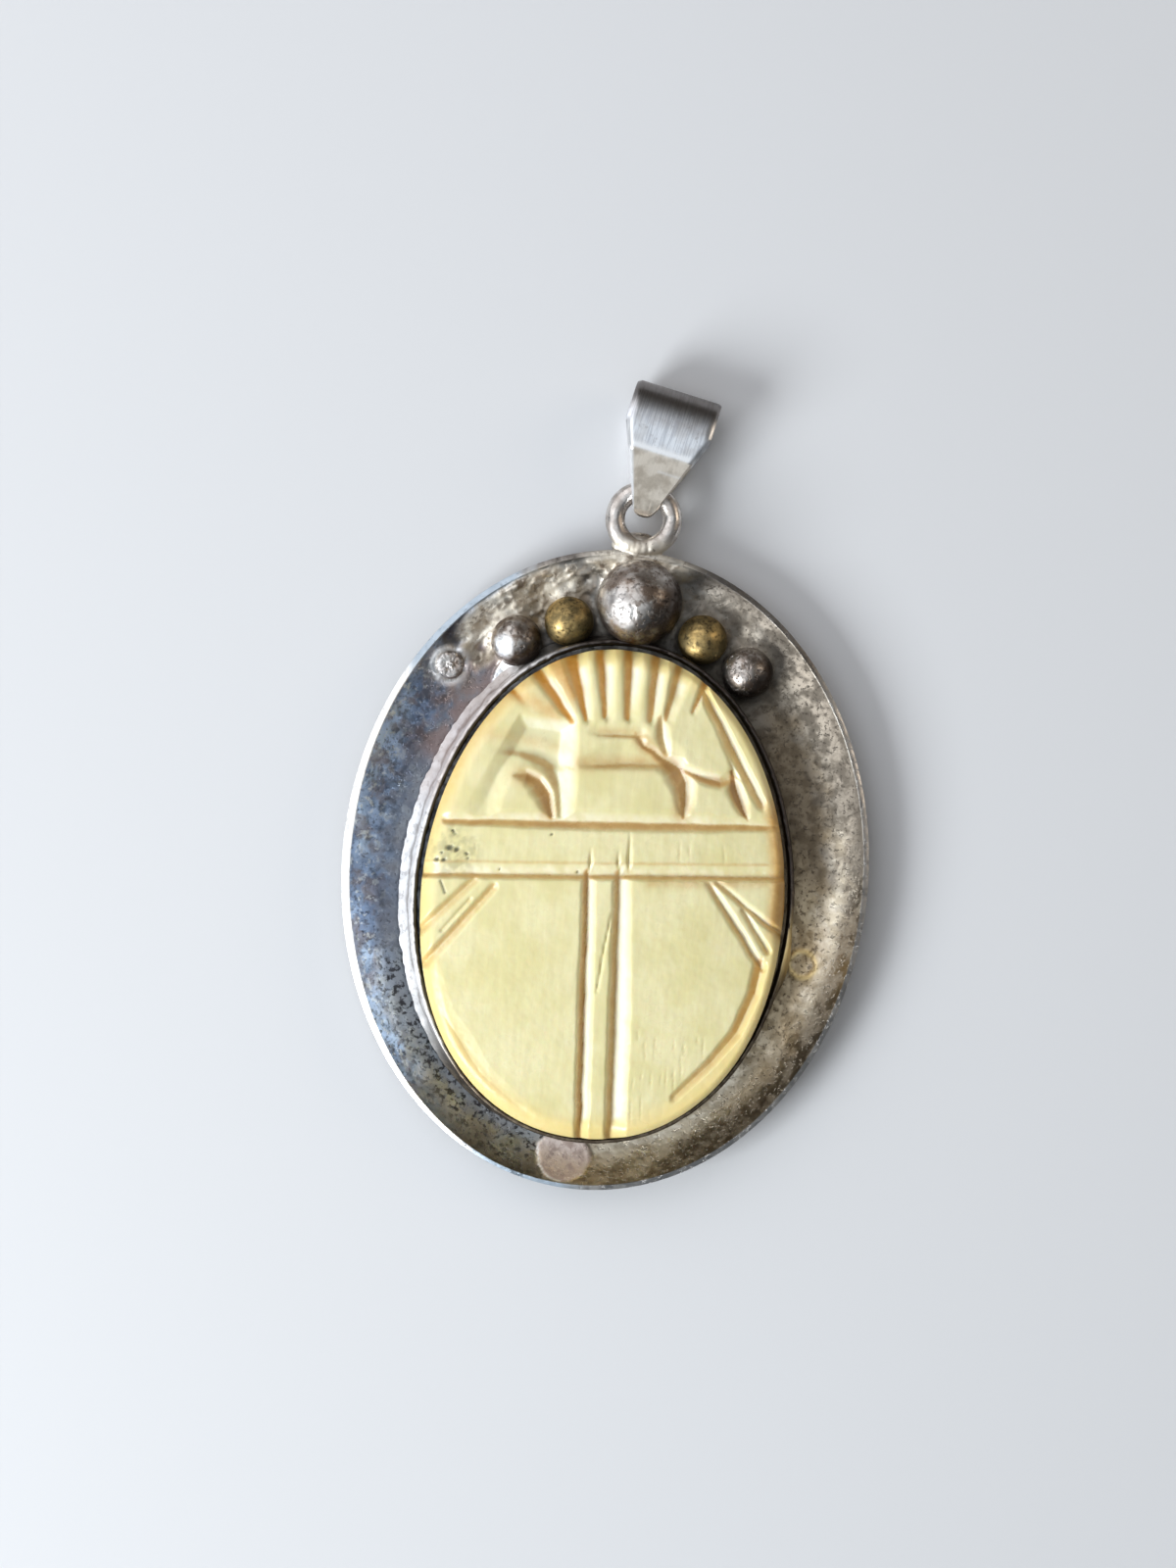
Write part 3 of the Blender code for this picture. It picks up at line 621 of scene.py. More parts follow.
def track(route):
    """How far along a route each place is from 0 to 1, how far to its right, and its way."""
    route = np.array(route, float)
    lengths = np.hypot(*(route[1:] - route[:-1]).T)
    total, passed = lengths.sum(), 0.0
    nearest = np.full(len(face_u), 1e9)
    along, side = np.zeros(len(face_u)), np.zeros(len(face_u))
    ways = np.zeros((len(face_u), 2))
    for start, end, length in zip(route[:-1], route[1:], lengths):
        way = (end - start) / length
        du, dv = face_u - start[0], face_v - start[1]
        t = np.clip(du * way[0] + dv * way[1], 0, length)
        distance = np.hypot(du - way[0] * t, dv - way[1] * t)
        right = du * way[1] - dv * way[0]
        closer = distance < nearest
        nearest = np.where(closer, distance, nearest)
        along = np.where(closer, (passed + t) / total, along)
        side = np.where(closer, np.where(right >= 0, distance, -distance), side)
        ways[closer] = way
        passed += length
    return along, side, ways


def gouge(route, left, right, deep, tone=0.8, warm=0.0, on_floor=False):
    """Cuts a V along a route. Widths and depth are single values or one for each even step.

    left and right are the widths of its walls as seen along the route. Dirt stays in its bottom,
    and the wall that faces away from the light is painted in brown shade. One on a floor deepens
    it.
    """
    along, side, ways = track(route)

    def at(value):
        value = np.atleast_1d(value).astype(float)
        return np.interp(along, np.linspace(0, 1, len(value)), value)

    wide = np.where(side >= 0, at(right), at(left)) + 1e-6
    share = np.clip(1 - np.abs(side) / wide, 0, 1)
    if on_floor:
        cut["depth"] = cut["depth"] + at(deep) * ease(share)
        return
    cut["depth"] = np.maximum(cut["depth"], at(deep) * share)
    facing = -np.sign(side)[:, None] * np.stack([ways[:, 1], -ways[:, 0]], axis=1)
    lit_wall_sheen = np.clip(0.5 + 0.75 * (facing @ TOWARDS_LIGHT), 0, 1)
    dirt_and_wall_shade = np.clip(at(deep) / 0.25, 0, 1) * np.maximum(ease(share * 1.6) * (1 - lit_wall_sheen),
                                                       np.clip(share - 0.8, 0, 1) * 3)
    cut["dirt_and_shade"] = np.maximum(cut["dirt_and_shade"], tone * dirt_and_wall_shade)
    cut["orange"] = np.maximum(cut["orange"], warm * dirt_and_wall_shade)


def recess(outline, walls, deep, keep_out=None):
    """Lowers a convex area; walls has the width of each side's slope and deep its depth.

    keep_out is an oval mound left standing in it: middle, half sizes and wall width.
    """
    inside = np.full(len(face_u), 1e9)
    corners = np.array(outline, float)
    turn = np.sign(np.cross(corners[1] - corners[0], corners[2] - corners[1]))
    for start, end, wall in zip(corners, np.roll(corners, -1, axis=0), walls):
        way = (end - start) / np.hypot(*(end - start))
        reach_in = turn * (way[0] * (face_v - start[1]) - way[1] * (face_u - start[0]))
        inside = np.minimum(inside, reach_in / wall)
    if keep_out:
        middle, half, wall = keep_out
        radius = np.hypot((face_u - middle[0]) / half[0], (face_v - middle[1]) / half[1])
        inside = np.minimum(inside, (radius - 1) * min(half) / wall)
    cut["depth"] = np.maximum(cut["depth"], deep * np.clip(inside, 0, 1))


# The two recesses beside the head, each with a rounded mound left in it.
left_floor = (0.12 + 0.42 * np.clip((face_u + 8.8) / 5.6, 0, 1)
              + 0.08 * np.clip((face_v - 5) / 4, 0, 1))
right_floor = 0.4 + 0.2 * np.clip((9.5 - face_u) / 5, 0, 1)
recess([(-5.5, 11.3), (-9.35, 4.5), (-1.85, 4.5), (-1.7, 7.9), (-1.75, 10.9)],
       [0.9, 0.3, 1.3, 0.75, 0.9], left_floor, keep_out=((-5.0, 4.6), (1.6, 2.8), 0.9))
recess([(3.6, 8.7), (3.6, 11.1), (5.5, 11.75), (6.0, 11.9), (9.9, 5.4), (9.0, 4.7), (8.2, 7.2),
        (5.9, 7.5)],
       [0.3, 0.4, 0.4, 0.35, 0.4, 0.3, 0.3, 0.3], right_floor)
gouge([(-7.4, 9.0), (-5.4, 8.9), (-3.6, 8.3), (-2.7, 8.0)], 1.1, 0.45, [0.0, 0.2, 0.26, 0.1],
      on_floor=True)
gouge([(-5.7, 7.35), (-4.99, 7.49), (-4.12, 7.08), (-3.51, 6.23), (-3.33, 4.83)],
      0.5, [0.3, 0.9, 1.15, 0.95, 0.4], [0.2, 0.42, 0.52, 0.54, 0.45], tone=1.0)
gouge([(4.59, 7.98), (5.88, 7.47), (7.29, 7.12), (8.04, 7.29)], 0.5, [0.35, 0.4, 0.5, 0.4],
      [0.5, 0.52, 0.46, 0.44], tone=1.0)
gouge([(8.09, 7.72), (8.38, 6.54), (8.83, 5.26), (9.1, 4.72)], [0.4, 0.6, 0.5, 0.2],
      [0.3, 0.75, 0.5, 0.15], [0.3, 0.5, 0.48, 0.1], tone=1.25)

# The head: a flat plateau below two shallow steps, with a deep gouge down its right side.
gouge([(-1.5, 8.06), (0.8, 8.12), (3.5, 8.2)], [0.7, 1.7, 1.7], 0.32, [0.12, 0.42, 0.36],
      tone=0.8)
gouge([(-0.45, 9.98), (2.1, 9.95)], 0.75, 0.2, [0.14, 0.26, 0.26], tone=0.9)
gouge([(1.96, 10.09), (2.46, 9.35), (3.06, 9.03), (3.82, 8.40), (4.59, 7.98), (5.09, 7.02),
       (5.16, 6.27), (5.01, 4.85)],
      [0.35, 0.45, 0.55, 0.7, 0.8, 0.7, 0.55, 0.3],
      [0.3, 0.4, 0.6, 1.0, 1.25, 1.0, 0.7, 0.25],
      [0.2, 0.30, 0.38, 0.54, 0.62, 0.66, 0.58, 0.25], tone=1.0)
gouge([(3.51, 10.98), (3.58, 9.9), (3.87, 8.83)], 0.5, [0.4, 0.5, 0.45], [0.2, 0.34, 0.36],
      tone=0.7)


def smear(route, width, tone, warm=0.0):
    """Brown painted shade along a route, faded out to its sides, with an orange tint where warm is
    given.
    """
    _, side, _ = track(route)
    spread = np.exp(-(side / width) ** 2) * (0.8 + 0.3 * smears)
    cut["dirt_and_shade"] = np.maximum(cut["dirt_and_shade"], tone * spread)
    cut["orange"] = np.maximum(cut["orange"], warm * spread)


smears = lumps(places, 0.9 * MM, 25)
# Painted shade beside the steps of the head, the mounds and the fan; then orange tints, with faint
# shade, along the left edge and above the head.
smear([(-1.6, 8.15), (0.8, 8.2), (3.4, 8.3)], 0.48, 0.6)
smear([(2.2, 9.7), (3.0, 9.0), (4.1, 8.2), (4.7, 7.2), (4.9, 6.2), (4.85, 5.1)], 0.52, 0.8)
smear([(4.9, 7.75), (6.2, 7.3), (7.7, 7.2)], 0.22, 0.6)
smear([(8.0, 7.4), (8.3, 6.4), (8.8, 5.2)], 0.3, 0.8)
smear([(-5.4, 7.3), (-4.4, 7.0), (-3.8, 6.2), (-3.55, 5.0)], 0.52, 0.75)
smear([(-7.2, 9.9), (-5.0, 9.6), (-2.7, 9.1)], 0.45, 0.32)
smear([(-0.3, 10.15), (2.2, 10.1)], 0.3, 0.5)
smear([(-10.7, 4.8), (-9.4, 8.4), (-7.3, 11.6), (-5.2, 13.4)], 0.8, 0.0, 0.3)
smear([(-6.6, 12.6), (-4.6, 12.0), (-3.2, 11.3)], 0.5, 0.2, 0.4)
smear([(-3.2, 14.6), (-2.0, 12.6)], 0.6, 0.2, 0.8)

# The fan of ridges above the head. Each gouge is its bottom and top place, the widths of its
# left wall, which faces away from the light and takes dirt and painted shade, and of its right
# wall, which faces the light, below and above, and how orange it is.
FAN = (
    ((-2.14, 10.88), (-4.15, 14.0), (0.35, 0.85), (0.35, 0.50), 1.0),
    ((-1.23, 11.00), (-2.00, 15.1), (0.25, 1.15), (0.50, 0.75), 1.0),
    ((-0.01, 11.24), (-0.28, 15.3), (0.28, 0.62), (0.65, 0.80), 0.8),
    ((1.46, 11.20), (1.57, 15.3), (0.38, 0.66), (0.68, 0.78), 0.65),
    ((2.86, 11.08), (3.32, 15.0), (0.42, 0.66), (0.55, 0.70), 0.4),
    ((3.88, 11.10), (4.75, 14.3), (0.35, 0.55), (0.50, 0.90), 0.3),
    ((5.54, 11.55), (6.45, 13.4), (0.18, 0.55), (0.12, 0.15), 0.5),
)
for bottom, top, dirty_shaded_wall, light_facing_wall, warm in FAN:
    gouge([bottom, top], dirty_shaded_wall, light_facing_wall, [0.22, 0.5, 0.58], tone=0.75, warm=warm)
gouge([(-6.4, 13.2), (-5.0, 11.9)], 0.5, 0.4, [0.4, 0.04], tone=0.6, warm=1.0)

# The two lines across, the seams of the wing cases, and the short nicks between the lines.
gouge([(-10.0, 4.45), (10.8, 4.38)], [0.5, 0.72, 0.72, 0.5], [0.4, 0.56, 0.62, 0.42],
      [0.25, 0.45, 0.46, 0.45, 0.25], tone=0.95)
gouge([(-11.9, 0.98), (11.9, 1.12)], 0.8, 0.3, [0.4, 0.45, 0.46, 0.45, 0.42], tone=0.85)
# Painted shade as a thin dark line above the lower line, and a broad one below its right end.
smear([(-11.8, 1.8), (11.2, 1.92)], 0.1, 0.5)
smear([(3.0, 0.62), (11.0, 0.7)], 0.3, 0.5)
gouge([(-0.98, 1.2), (-1.2, -16)], [0.5, 0.58, 0.55], [0.4, 0.46, 0.46], [0.45, 0.55, 0.5],
      tone=1.0)
gouge([(1.0, 1.2), (0.72, -16)], [0.8, 1.05, 1.0], [0.42, 0.46, 0.46], [0.45, 0.55, 0.5],
      tone=0.8)
gouge([(0.5, -1.4), (-0.35, -6.3)], 0.14, 0.06, 0.14, tone=0.0)
for u, top in ((-0.85, 2.8), (0.95, 2.65), (1.62, 3.9)):
    gouge([(u, top), (u - 0.03, 1.3)], [0.1, 0.3], [0.05, 0.15], [0.04, 0.3], tone=0.3)
for u, top, length in ((-8.2, 3.2, 0.9), (4.8, 3.5, 2.0), (5.4, 3.4, 1.4), (7.6, 3.3, 1.7)):
    gouge([(u, top), (u + 0.05, top - length)], 0.06, 0.06, [0.0, 0.07, 0.0], tone=0.8)

# The legs: crossed diagonal cuts at each side, and the filed edges of the wing cases.
gouge([(-11.7, -2.7), (-8.15, 0.72)], 0.36, 0.4, [0.38, 0.26], tone=0.55, warm=0.2)
gouge([(-11.2, -4.6), (-6.9, 0.25)], 0.36, [0.5, 0.4, 0.3], [0.42, 0.24], tone=0.55, warm=0.3)
gouge([(-10.2, -2.6), (-8.4, -0.55)], 0.15, 0.15, 0.14, tone=0.3)
gouge([(7.2, 0.75), (9.6, -1.2), (11.9, -3.0)], 0.3, 0.3, [0.18, 0.42], tone=0.8)
gouge([(6.7, 0.6), (8.6, -2.2), (10.15, -4.7)], 0.34, 0.34, [0.18, 0.42, 0.5], tone=0.8)
gouge([(8.9, -1.0), (10.5, -3.6)], 0.26, 0.26, [0.2, 0.36], tone=0.6)
gouge([(10.1, -4.5), (9.7, -6.3), (8.6, -8.8), (7.0, -10.7), (4.7, -12.9)],
      0.4, [0.6, 0.5, 0.3], [0.40, 0.42, 0.34, 0.18], tone=0.9, warm=0.15)
gouge([(-10.9, -4.6), (-10.0, -7.9), (-7.6, -11.6), (-4.5, -14.2)], [0.5, 0.9, 0.5],
      [0.5, 0.6, 0.5], [0.06, 0.14, 0.05], tone=0.1, warm=0.3)
gouge([(6.3, 12.75), (8.1, 9.3), (10.0, 5.8)], [0.28, 0.36, 0.3], [0.5, 0.6, 0.5],
      [0.5, 0.6, 0.4], tone=0.7)

# Marks that the file and the saw left, then small pits at the left between the lines.
rng = np.random.default_rng(7)
for _ in range(FILE_MARKS):
    u, v = rng.uniform(1.8, 7.4), rng.uniform(-13.4, -8.4)
    length = rng.uniform(0.5, 2.2)
    if np.hypot(u / 9.5, v / 14.8) < 1:
        gouge([(u, v), (u + rng.uniform(-0.1, 0.1), v - length)], 0.05, 0.05,
              [0.0, 0.06, 0.0], tone=0.9)
PITS = ((-9.6, 3.75, 0.3), (-9.75, 2.65, 0.28), (-9.3, 2.55, 0.22), (-10.3, 2.35, 0.2),
        (-10.1, 1.95, 0.2), (-10.6, 1.9, 0.22), (-8.7, 2.3, 0.14), (-8.65, 2.0, 0.12),
        (-6.6, 1.35, 0.14), (-1.65, 1.3, 0.12), (-3.35, 3.6, 0.09))
pit_edge = np.clip(1 + 0.9 * lumps(places, 0.3 * MM, 23), 0.25, 2)
pits = np.zeros(len(places))
for u, v, size in PITS:
    out = np.hypot(face_u - u, face_v - v) / (size * pit_edge * 0.8)
    pits = np.maximum(pits, ease(1.3 - out))
_, side, _ = track([(-10.35, 0.55), (-10.05, -0.2)])
pits = np.maximum(pits, np.clip(1 - np.abs(side) / 0.12, 0, 1))

flats = lumps(places, 1.6 * MM, 21, 2) * 0.025 + lumps(places, 0.4 * MM, 22, 2) * 0.012
places[:, 2] -= (DEEPEN * cut["depth"] + PIT_DEPTH * pits + flats) * MM
move_points(scarab, places)

# Where dirt and painted shade lie, and where walls that face the light are painted paler, from 0
# to 1.
share_out = scarab_share(dx, dy)
on_face = np.stack([face_u, face_v], axis=1) * MM
normals = np.array([n.vector for n in scarab.data.vertex_normals])
normals *= np.sign(normals[:, 2:3])
# Walls that face away from the light are painted in brown shade, the more the deeper the cut.
off_edge = ease((0.95 - share_out) / 0.03)
wall_dirt_and_shade = (ease((-normals[:, :2] @ TOWARDS_LIGHT - 0.16) / 0.5) * off_edge
             * np.clip(cut["depth"] / 0.4, 0, 1))
# The right end of the edge, which slopes away from the light, is painted in brown shade.
right_end_shade = ease((share_out - 0.88) / 0.08) * within(on_face, (11.3, 1.8), (2.2, 4.4), 0, 0.6)
attribute(scarab, "dirt_and_shade", np.clip(np.max([cut["dirt_and_shade"], 0.75 * wall_dirt_and_shade, right_end_shade], axis=0),
                                   0, 1))
# Walls that face the light are painted paler as a sheen.
attribute(scarab, "lit_wall_sheen", ease((normals[:, :2] @ TOWARDS_LIGHT - 0.16) / 0.3)
          * off_edge * np.clip(cut["depth"] / 0.25, 0, 1))
# The strongest of the dirt and painted shade is painted a darker brown.
attribute(scarab, "deep_dirt_and_shade", ease((cut["dirt_and_shade"] - 0.85) / 0.35))
attribute(scarab, "orange", np.clip(cut["orange"], 0, 1))
grey = within(on_face, (-9.6, 2.5), (1.7, 1.5), 0, 0.8)
attribute(scarab, "pit", np.maximum(pits, 0.3 * grey * ease(0.5 + lumps(places, 0.5 * MM, 24))))
attribute(scarab, "edge", ease(share_out * 9 - 8.0))
# The floors of the recesses are painted a greyer shade.
attribute(scarab, "hollow", np.clip((cut["depth"] - 0.1) / 0.4, 0, 1)
          * (1 - np.clip(cut["dirt_and_shade"] + cut["orange"], 0, 1)))

# Handling has softened the cuts, those of the head most. A wall is then drawn down to its foot.
bm = bmesh.new()
bm.from_mesh(scarab.data)
head = [vert for vert, high in zip(bm.verts, face_v > HEAD_FROM) if high]
for soft in (bm.verts, *[head] * HEAD_RUBS):
    bmesh.ops.smooth_vert(bm, verts=soft, factor=0.4, use_axis_x=False, use_axis_y=False,
                          use_axis_z=True)
open_edges = [e for e in bm.edges if e.is_boundary]
wall = bmesh.ops.extrude_edge_only(bm, edges=open_edges)["geom"]
for vert in (g for g in wall if isinstance(g, bmesh.types.BMVert)):
    angle = np.arctan2((vert.co.y - SCARAB_CENTRE.y) / SCARAB_HALF.y, vert.co.x / SCARAB_HALF.x)
    inward = overhang(angle)
    vert.co = (vert.co.x - inward * cos(angle), vert.co.y - inward * sin(angle), SCARAB_FOOT)
bmesh.ops.holes_fill(bm, edges=[e for e in bm.edges if e.is_boundary], sides=0)
bmesh.ops.recalc_face_normals(bm, faces=bm.faces)
bm.to_mesh(scarab.data)
bm.free()
scarab.data.shade_smooth()
scarab.data.set_sharp_from_angle(angle=radians(70))

# Carved bone, hand rubbed: satin and slightly translucent, cream with faint grain along it,
# orange-brown in the cuts and grey-green dirt in the pits. Brown shade is painted on the walls
# that face away from the light, a greyer shade on the recess floors, and a paler sheen on the
# walls that face the light. Its fibres are drawn at 0.16 mm, coarser than the real ones, so that
# they show.
bone, tree, shader = new_material("carved_rubbed_bone", IOR=1.54,
                                  Subsurface_Weight=0.25, Subsurface_Scale=0.25 * MM)
shader.inputs["Subsurface Radius"].default_value = (1.0, 0.6, 0.3)
where = add(tree, "TexCoord", out="Object")
grain = blotches(tree, where, 0.35, 0.3, 0.7, 5, (1, 0.12, 1))
clouds = blotches(tree, where, 3.5, 0.35, 0.65)
faint = blotches(tree, where, 0.7, 0.3, 0.6)
colour = coats(
    tree, "EEE6B6", ("E4DBA1", clouds), ("D8CC98", grain, 0.35),
    ("E4E1BC", "hollow", 0.5), ("F0D27E", "edge", 0.6), ("FFFCE8", "lit_wall_sheen", 0.7),
    ("CFA25E", "dirt_and_shade", 0.85), ("B78645", "dirt_and_shade", faint, 0.45),
    ("EBAA42", "orange", 0.8), ("C9832F", "orange", faint, 0.4),
    ("93683A", "deep_dirt_and_shade", 0.75),
    ("5E5C40", "pit"),
)
tree.links.new(colour, shader.inputs["Base Color"])
rough = add(tree, "MapRange", {"Value": clouds, "To Min": 0.27, "To Max": 0.38})
tree.links.new(rough, shader.inputs["Roughness"])
along_grain = add(tree, "Mapping", {"Vector": where, "Scale": (1, 0.15, 1)})
fibres = add(tree, "TexNoise", {"Vector": along_grain, "Scale": 1 / (0.16 * MM), "Detail": 4.0})
bump = add(tree, "Bump", {"Height": fibres, "Distance": 0.012 * MM, "Strength": 0.35})
tree.links.new(bump, shader.inputs["Normal"])
dress(scarab, bone)
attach(scarab, "root")
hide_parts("scarab")

# The balls are shot melted from scrap and soldered in a row along the top of the channel:
# four silver ones, tarnished and pitted, and two of a yellow brass.
ball_silver, tree, shader = new_material("tarnished_silver_shot", Metallic=1.0)
where = add(tree, "TexCoord", out="Object")
clouds = blotches(tree, where, 1.3, 0.38, 0.62, 5)
browning = blotches(tree, where, 0.7, 0.5, 0.6, 6)
pitting = blotches(tree, where, 0.3, 0.55, 0.64, 5)
# The side of each silver ball away from the light is painted dark as shade.
colour = coats(tree, "CBC5BF", ("8F8176", clouds), ("6B5B4E", browning, 0.7),
               ("3E3530", pitting, 0.6), ("352B25", "shaded_far_side", 0.85),
               ("FFFFFF", "wear_and_highlight"))
tree.links.new(colour, shader.inputs["Base Color"])
rough = add(tree, "MapRange", {"Value": browning, "To Min": 0.33, "To Max": 0.55})
tree.links.new(rough, shader.inputs["Roughness"])
bump = add(tree, "Bump", {"Height": pitting, "Distance": -0.03 * MM, "Strength": 0.9})
tree.links.new(bump, shader.inputs["Normal"])

# Yellow brass shot, its colour dulled by a brown film.
brass, tree, shader = new_material("tarnished_brass_shot", Metallic=1.0)
where = add(tree, "TexCoord", out="Object")
clouds = blotches(tree, where, 0.9, 0.35, 0.62, 5)
pitting = blotches(tree, where, 0.3, 0.54, 0.63, 5)
# The brass balls' far sides are painted darker as shade.
colour = coats(tree, "D2B478", ("80714F", clouds), ("2F271D", pitting, 0.6),
               ("5A5238", "shaded_far_side", 0.6))
tree.links.new(colour, shader.inputs["Base Color"])
rough = add(tree, "MapRange", {"Value": clouds, "To Min": 0.42, "To Max": 0.62})
tree.links.new(rough, shader.inputs["Roughness"])

# Each silver ball takes a painted white highlight on its side towards the light, strongest on the
# left silver ball; the side away from the light is painted in shade.
SHADE_SIDE = np.array([0.8, -0.5, -0.15])
HIGHLIGHT_SIDE = np.array([-0.55, -0.3, 0.78])
LEAST_HIGHLIGHT = 0.15
HIGHLIGHT = {"silver_ball_left": 1.0, "large_ball": 0.3, "small_ball": 0.4}
for number, (node, (centre, radius)) in enumerate(BALLS.items()):
    small = node == "small_ball"
    bm = bmesh.new()
    bmesh.ops.create_uvsphere(bm, u_segments=96, v_segments=64, radius=radius,
                              matrix=Matrix.Translation(centre))
    ball = finish_mesh(node + "_shot", bm)
    places = points(ball)
    middle = np.array(centre)
    away = (places - middle) / radius
    dents = (lumps(places, radius * 0.9, number + 31, 2) * 0.02
             + np.minimum(0, lumps(places, radius * 0.22, number + 41, 3) + 0.25) * 0.035)
    if small:
        dents = (dents - 0.5 * ease((away[:, 2] - 0.35) / 0.5)
                 + 0.12 * lumps(places, radius * 0.5, 61, 2))
    places = middle + away * (radius * (0.99 + np.minimum(0.01, dents)))[:, None]
    move_points(ball, places)
    shaded_far_side = ease((away @ SHADE_SIDE + 0.14) / 0.6)
    attribute(ball, "shaded_far_side", shaded_far_side * (0.35 if small else 1))
    catch = away @ HIGHLIGHT_SIDE + 0.05 * lumps(places, radius * 0.4, number + 71)
    painted_highlight_spot = ease((catch - (0.3 if small else 0.82)) / 0.12)
    attribute(ball, "wear_and_highlight", HIGHLIGHT.get(node, LEAST_HIGHLIGHT) * painted_highlight_spot)
    yellow = node.startswith("brass")
    dress(ball, brass if yellow else ball_silver)
    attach(ball, "root")
    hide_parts(node)

# The jump ring is one turn of thick silver wire, closed and soldered to the edge of the rim.
# The solder of its foot is a low lump with ridges running up it.
ring_low, ring_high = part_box("jump_ring")
RING_RADIUS = (ring_high.x - ring_low.x) / 2
RING_WIRE = 1.25 * MM
RING_CENTRE = Vector(((ring_low.x + ring_high.x) / 2, ring_high.y - RING_RADIUS,
                      (ring_low.z + ring_high.z) / 2))
FOOT_CENTRE = Vector((0.15, 20.7, 2.0)) * MM
FOOT_SIZE = (1.7, 0.95, 0.7)
FOOT_TOP = 21.6 * MM


def ring_warp(u, v):
    """u runs round the ring and v round its wire, a little flattened."""
    turn, around = 2 * pi * u, 2 * pi * v
    wire = RING_WIRE / 2 * (1 - 0.02 * np.sin(around) ** 2)
    out = RING_RADIUS - RING_WIRE / 2 + wire * np.cos(around)
    return (RING_CENTRE.x + out * np.cos(turn), RING_CENTRE.y + out * np.sin(turn),
            RING_CENTRE.z + wire * np.sin(around))


bm = warped_grid(160, 40, ring_warp, join_columns=True, join_rows=True)
foot_place = Matrix.Translation(FOOT_CENTRE) @ Matrix.Diagonal((*FOOT_SIZE, 1))
bmesh.ops.create_uvsphere(bm, u_segments=72, v_segments=40, radius=MM, matrix=foot_place)
ring = finish_mesh("jump_ring_wire", bm)
places = points(ring)
foot = ease((FOOT_TOP - places[:, 1]) / (0.9 * MM))
uneven = lumps(places, 0.5 * MM, 51) * 0.008 * MM
uneven += lumps(places * np.array([1, 0.2, 0.2]), 0.3 * MM, 53) * foot * 0.06 * MM
places[:, 2] = np.minimum(places[:, 2] + uneven, ring_high.z)
places[:, 0] += lumps(places, 0.6 * MM, 52) * 0.05 * MM * foot
move_points(ring, places)
attribute(ring, "foot", foot)

# Sterling wire, drawn smooth and polished by wear, with a thin grey film left in its hollows.
wear_and_highlight, tree, shader = new_material("worn_sterling_wire", Metallic=1.0)
where = add(tree, "TexCoord", out="Object")
film = blotches(tree, where, 0.8, 0.4, 0.62, 5)
pitting = blotches(tree, where, 0.3, 0.58, 0.68)
colour = coats(tree, "DCD6D0", ("A89E96", film, 0.7), ("5A504B", pitting, 0.35),
               ("E6DECF", "foot", 0.8), ("94887A", "foot", pitting))
tree.links.new(colour, shader.inputs["Base Color"])
rough = add(tree, "MapRange", {"Value": film, "To Min": 0.24, "To Max": 0.4})
soldered = add(tree, "Attribute", out="Fac", attribute_name="foot")
rough = add(tree, "Math", {0: soldered, 1: 0.3, 2: rough}, operation="MULTIPLY_ADD")
tree.links.new(rough, shader.inputs["Roughness"])
dress(ring, wear_and_highlight)
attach(ring, "root")
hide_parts("jump_ring")

# The bail is a strip of silver sheet, cut wide in the middle and narrow at both ends, folded over
# so that its two points close through the ring. It hangs loose on the ring and is brushed along.
BAIL_LEAN = radians(12)
BAIL_LENGTH = 8.5 * MM
BAIL_THICKNESS = 0.6 * MM
BAIL_WIDTH = 5.6 * MM
BAIL_FOLD = 2.6 * MM
BAIL_LIFT = 0.1 * MM
RING_HOLE = RING_RADIUS - RING_WIRE
BAIL_TIP = RING_HOLE * 0.42
BAIL_SHIFT = 0.17 * RING_HOLE
BEND_STEPS = 40
PATH_STEPS = 240
LEAF_HEIGHT = RING_WIRE / 2 + GAP + BAIL_THICKNESS / 2
FOLD_HEIGHT = RING_CENTRE.z - BAIL_LIFT - BAIL_THICKNESS / 2
FOLD_START = BAIL_LENGTH - BAIL_THICKNESS / 2 - BAIL_FOLD
LEAF_START = RING_HOLE * 0.9
CREASE = LEAF_START + (FOLD_START - LEAF_START) * 0.69
leaf = [(RING_HOLE * 0.32, LEAF_HEIGHT * 0.42), (RING_HOLE * 0.6, LEAF_HEIGHT * 0.64),
        (RING_HOLE * 1.05, LEAF_HEIGHT * 0.82), (RING_HOLE * 1.5, LEAF_HEIGHT * 0.9),
        (CREASE, FOLD_HEIGHT * 0.955)]
bends = [pi / 2 - pi * i / BEND_STEPS for i in range(BEND_STEPS + 1)]
fold = [(FOLD_START + BAIL_FOLD * cos(bend), FOLD_HEIGHT * sin(bend)) for bend in bends]
path = np.array(leaf + fold + [(a, -h) for a, h in reversed(leaf)])
steps = np.r_[0, np.cumsum(np.hypot(*np.diff(path, axis=0).T))]
even = np.linspace(0, steps[-1], PATH_STEPS + 1)
path = np.array([np.interp(even, steps, path[:, k]) for k in (0, 1)])
for _ in range(2):
    path[:, 1:-1] = (path[:, :-2] + 2 * path[:, 1:-1] + path[:, 2:]) / 4
ahead = np.gradient(path, axis=1)
ahead /= np.hypot(*ahead)
SECTION = [(-1, 0.0), (-0.99, 0.5), (-0.9, 1), (-0.5, 1), (0, 1), (0.5, 1), (0.93, 1), (1, 0.6),
           (1, 0.0), (1, -0.7), (0.96, -1), (0.5, -1), (0, -1), (-0.5, -1), (-0.96, -1),
           (-1, -0.7), (-1, 0.0)]


def bail_half(along):
    """Half the strip's width, from its points to where it is full wide."""
    widen = np.clip(along / (BAIL_LENGTH - BAIL_FOLD), 0, 1)
    return BAIL_TIP + (BAIL_WIDTH / 2 - BAIL_TIP) * widen


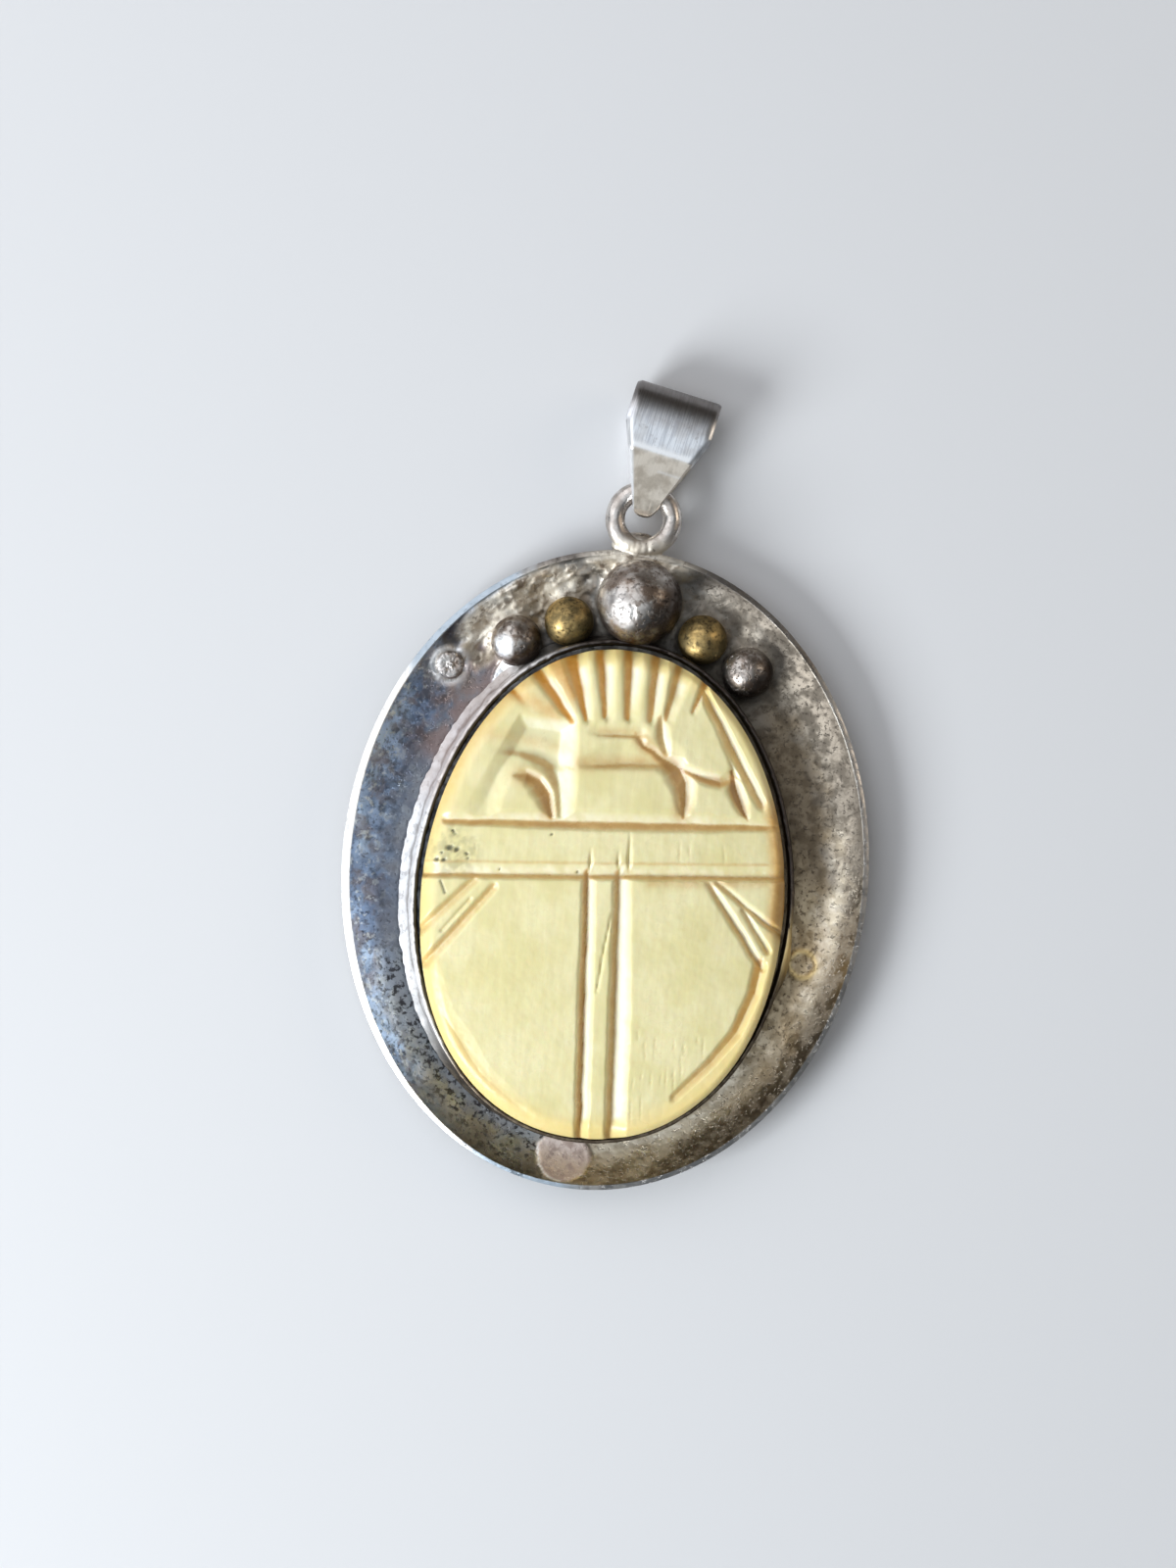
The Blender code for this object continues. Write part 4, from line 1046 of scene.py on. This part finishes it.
def bail_warp(u, v):
    """u runs along the strip from point to point and v round its section."""
    spot = u * (path.shape[1] - 1)
    grid = np.arange(path.shape[1])
    along, height = np.interp(spot, grid, path[0]), np.interp(spot, grid, path[1])
    way_a, way_h = np.interp(spot, grid, ahead[0]), np.interp(spot, grid, ahead[1])
    corners = np.linspace(0, 1, len(SECTION))
    side = np.interp(v, corners, [s for s, _ in SECTION])
    face = np.interp(v, corners, [f for _, f in SECTION])
    end = np.clip(np.minimum(u, 1 - u) / 0.035, 0, 1)
    half = bail_half(along) * (0.25 + 0.75 * np.sqrt(end * (2 - end)))
    x = side * half
    a = along - way_h * face * BAIL_THICKNESS / 2
    h = height + way_a * face * BAIL_THICKNESS / 2
    lean_x = x * cos(BAIL_LEAN) + a * sin(BAIL_LEAN)
    lean_y = -x * sin(BAIL_LEAN) + a * cos(BAIL_LEAN)
    return RING_CENTRE.x - BAIL_SHIFT + lean_x, RING_CENTRE.y + lean_y, RING_CENTRE.z + h


bm = warped_grid(PATH_STEPS, 64, bail_warp, join_rows=True, caps=True)
bail = finish_mesh("folded_bail", bm, smooth_angle=40)
places = points(bail)
along = ((places[:, 0] - RING_CENTRE.x) * sin(BAIL_LEAN)
         + (places[:, 1] - RING_CENTRE.y) * cos(BAIL_LEAN))
across = ((places[:, 0] - RING_CENTRE.x + BAIL_SHIFT) * cos(BAIL_LEAN)
          - (places[:, 1] - RING_CENTRE.y) * sin(BAIL_LEAN))
# White painted highlights along the crease, a faint bend and the left edge, where the light falls.
crease_highlight = np.exp(-((along - CREASE - 0.1 * MM) / (0.2 * MM)) ** 2)
bend_highlight = np.exp(-((along - CREASE + 1.15 * MM) / (0.08 * MM)) ** 2) * ease(across / (0.3 * MM))
lit_edge_highlight = (ease((-across / bail_half(along) - 0.84) / 0.1)
             * ease((FOLD_START + 0.4 * MM - along) / MM))
attribute(bail, "wear_and_highlight", np.clip(np.max([crease_highlight, 0.35 * bend_highlight, lit_edge_highlight], axis=0), 0, 1))
attribute(bail, "low_leaf", ease((CREASE - along) / (0.1 * MM)))
attribute(bail, "over_fold", ease((along - FOLD_START - 0.3 * BAIL_FOLD) / (0.5 * BAIL_FOLD)))

# Sterling sheet, brushed along the strip with a coarse paper: bright above its crease, dark where
# it turns over the fold, with white painted highlights along the crease, a faint bend and its left
# edge. The scratches are drawn at 0.09 mm, coarser than the real ones, so that they show.
brushed, tree, shader = new_material("brushed_sterling_sheet", Metallic=1.0)
where = add(tree, "TexCoord", out="Object")
turned = add(tree, "Mapping", {"Vector": where, "Rotation": (0, 0, BAIL_LEAN)})
film = blotches(tree, turned, 1.4, 0.4, 0.64)
spots = blotches(tree, turned, 0.5, 0.6, 0.7, 5)
scores = add(tree, "Mapping", {"Vector": turned, "Scale": (1, 0.05, 0.05)})
brush = add(tree, "TexNoise", {"Vector": scores, "Scale": 1 / (0.09 * MM), "Detail": 3.0})
streaks = add(tree, "MapRange", {"Value": brush, "From Min": 0.42, "From Max": 0.6})
colour = coats(tree, "F4F7FB", ("A9AEB8", streaks, 0.5), ("B5ADA6", film, 0.35),
               ("857A73", spots, 0.3), ("DFD2BF", "low_leaf", 0.85),
               ("8E806E", "low_leaf", film, 0.5),
               ("5F554E", "over_fold", 0.85), ("FFFFFF", "wear_and_highlight"))
tree.links.new(colour, shader.inputs["Base Color"])
rough = add(tree, "MapRange", {"Value": brush, "To Min": 0.22, "To Max": 0.42})
tree.links.new(rough, shader.inputs["Roughness"])
bump = add(tree, "Bump", {"Height": brush, "Distance": 0.01 * MM, "Strength": 0.6})
tree.links.new(bump, shader.inputs["Normal"])
dress(bail, brushed)
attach(bail, "root")
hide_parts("bail")
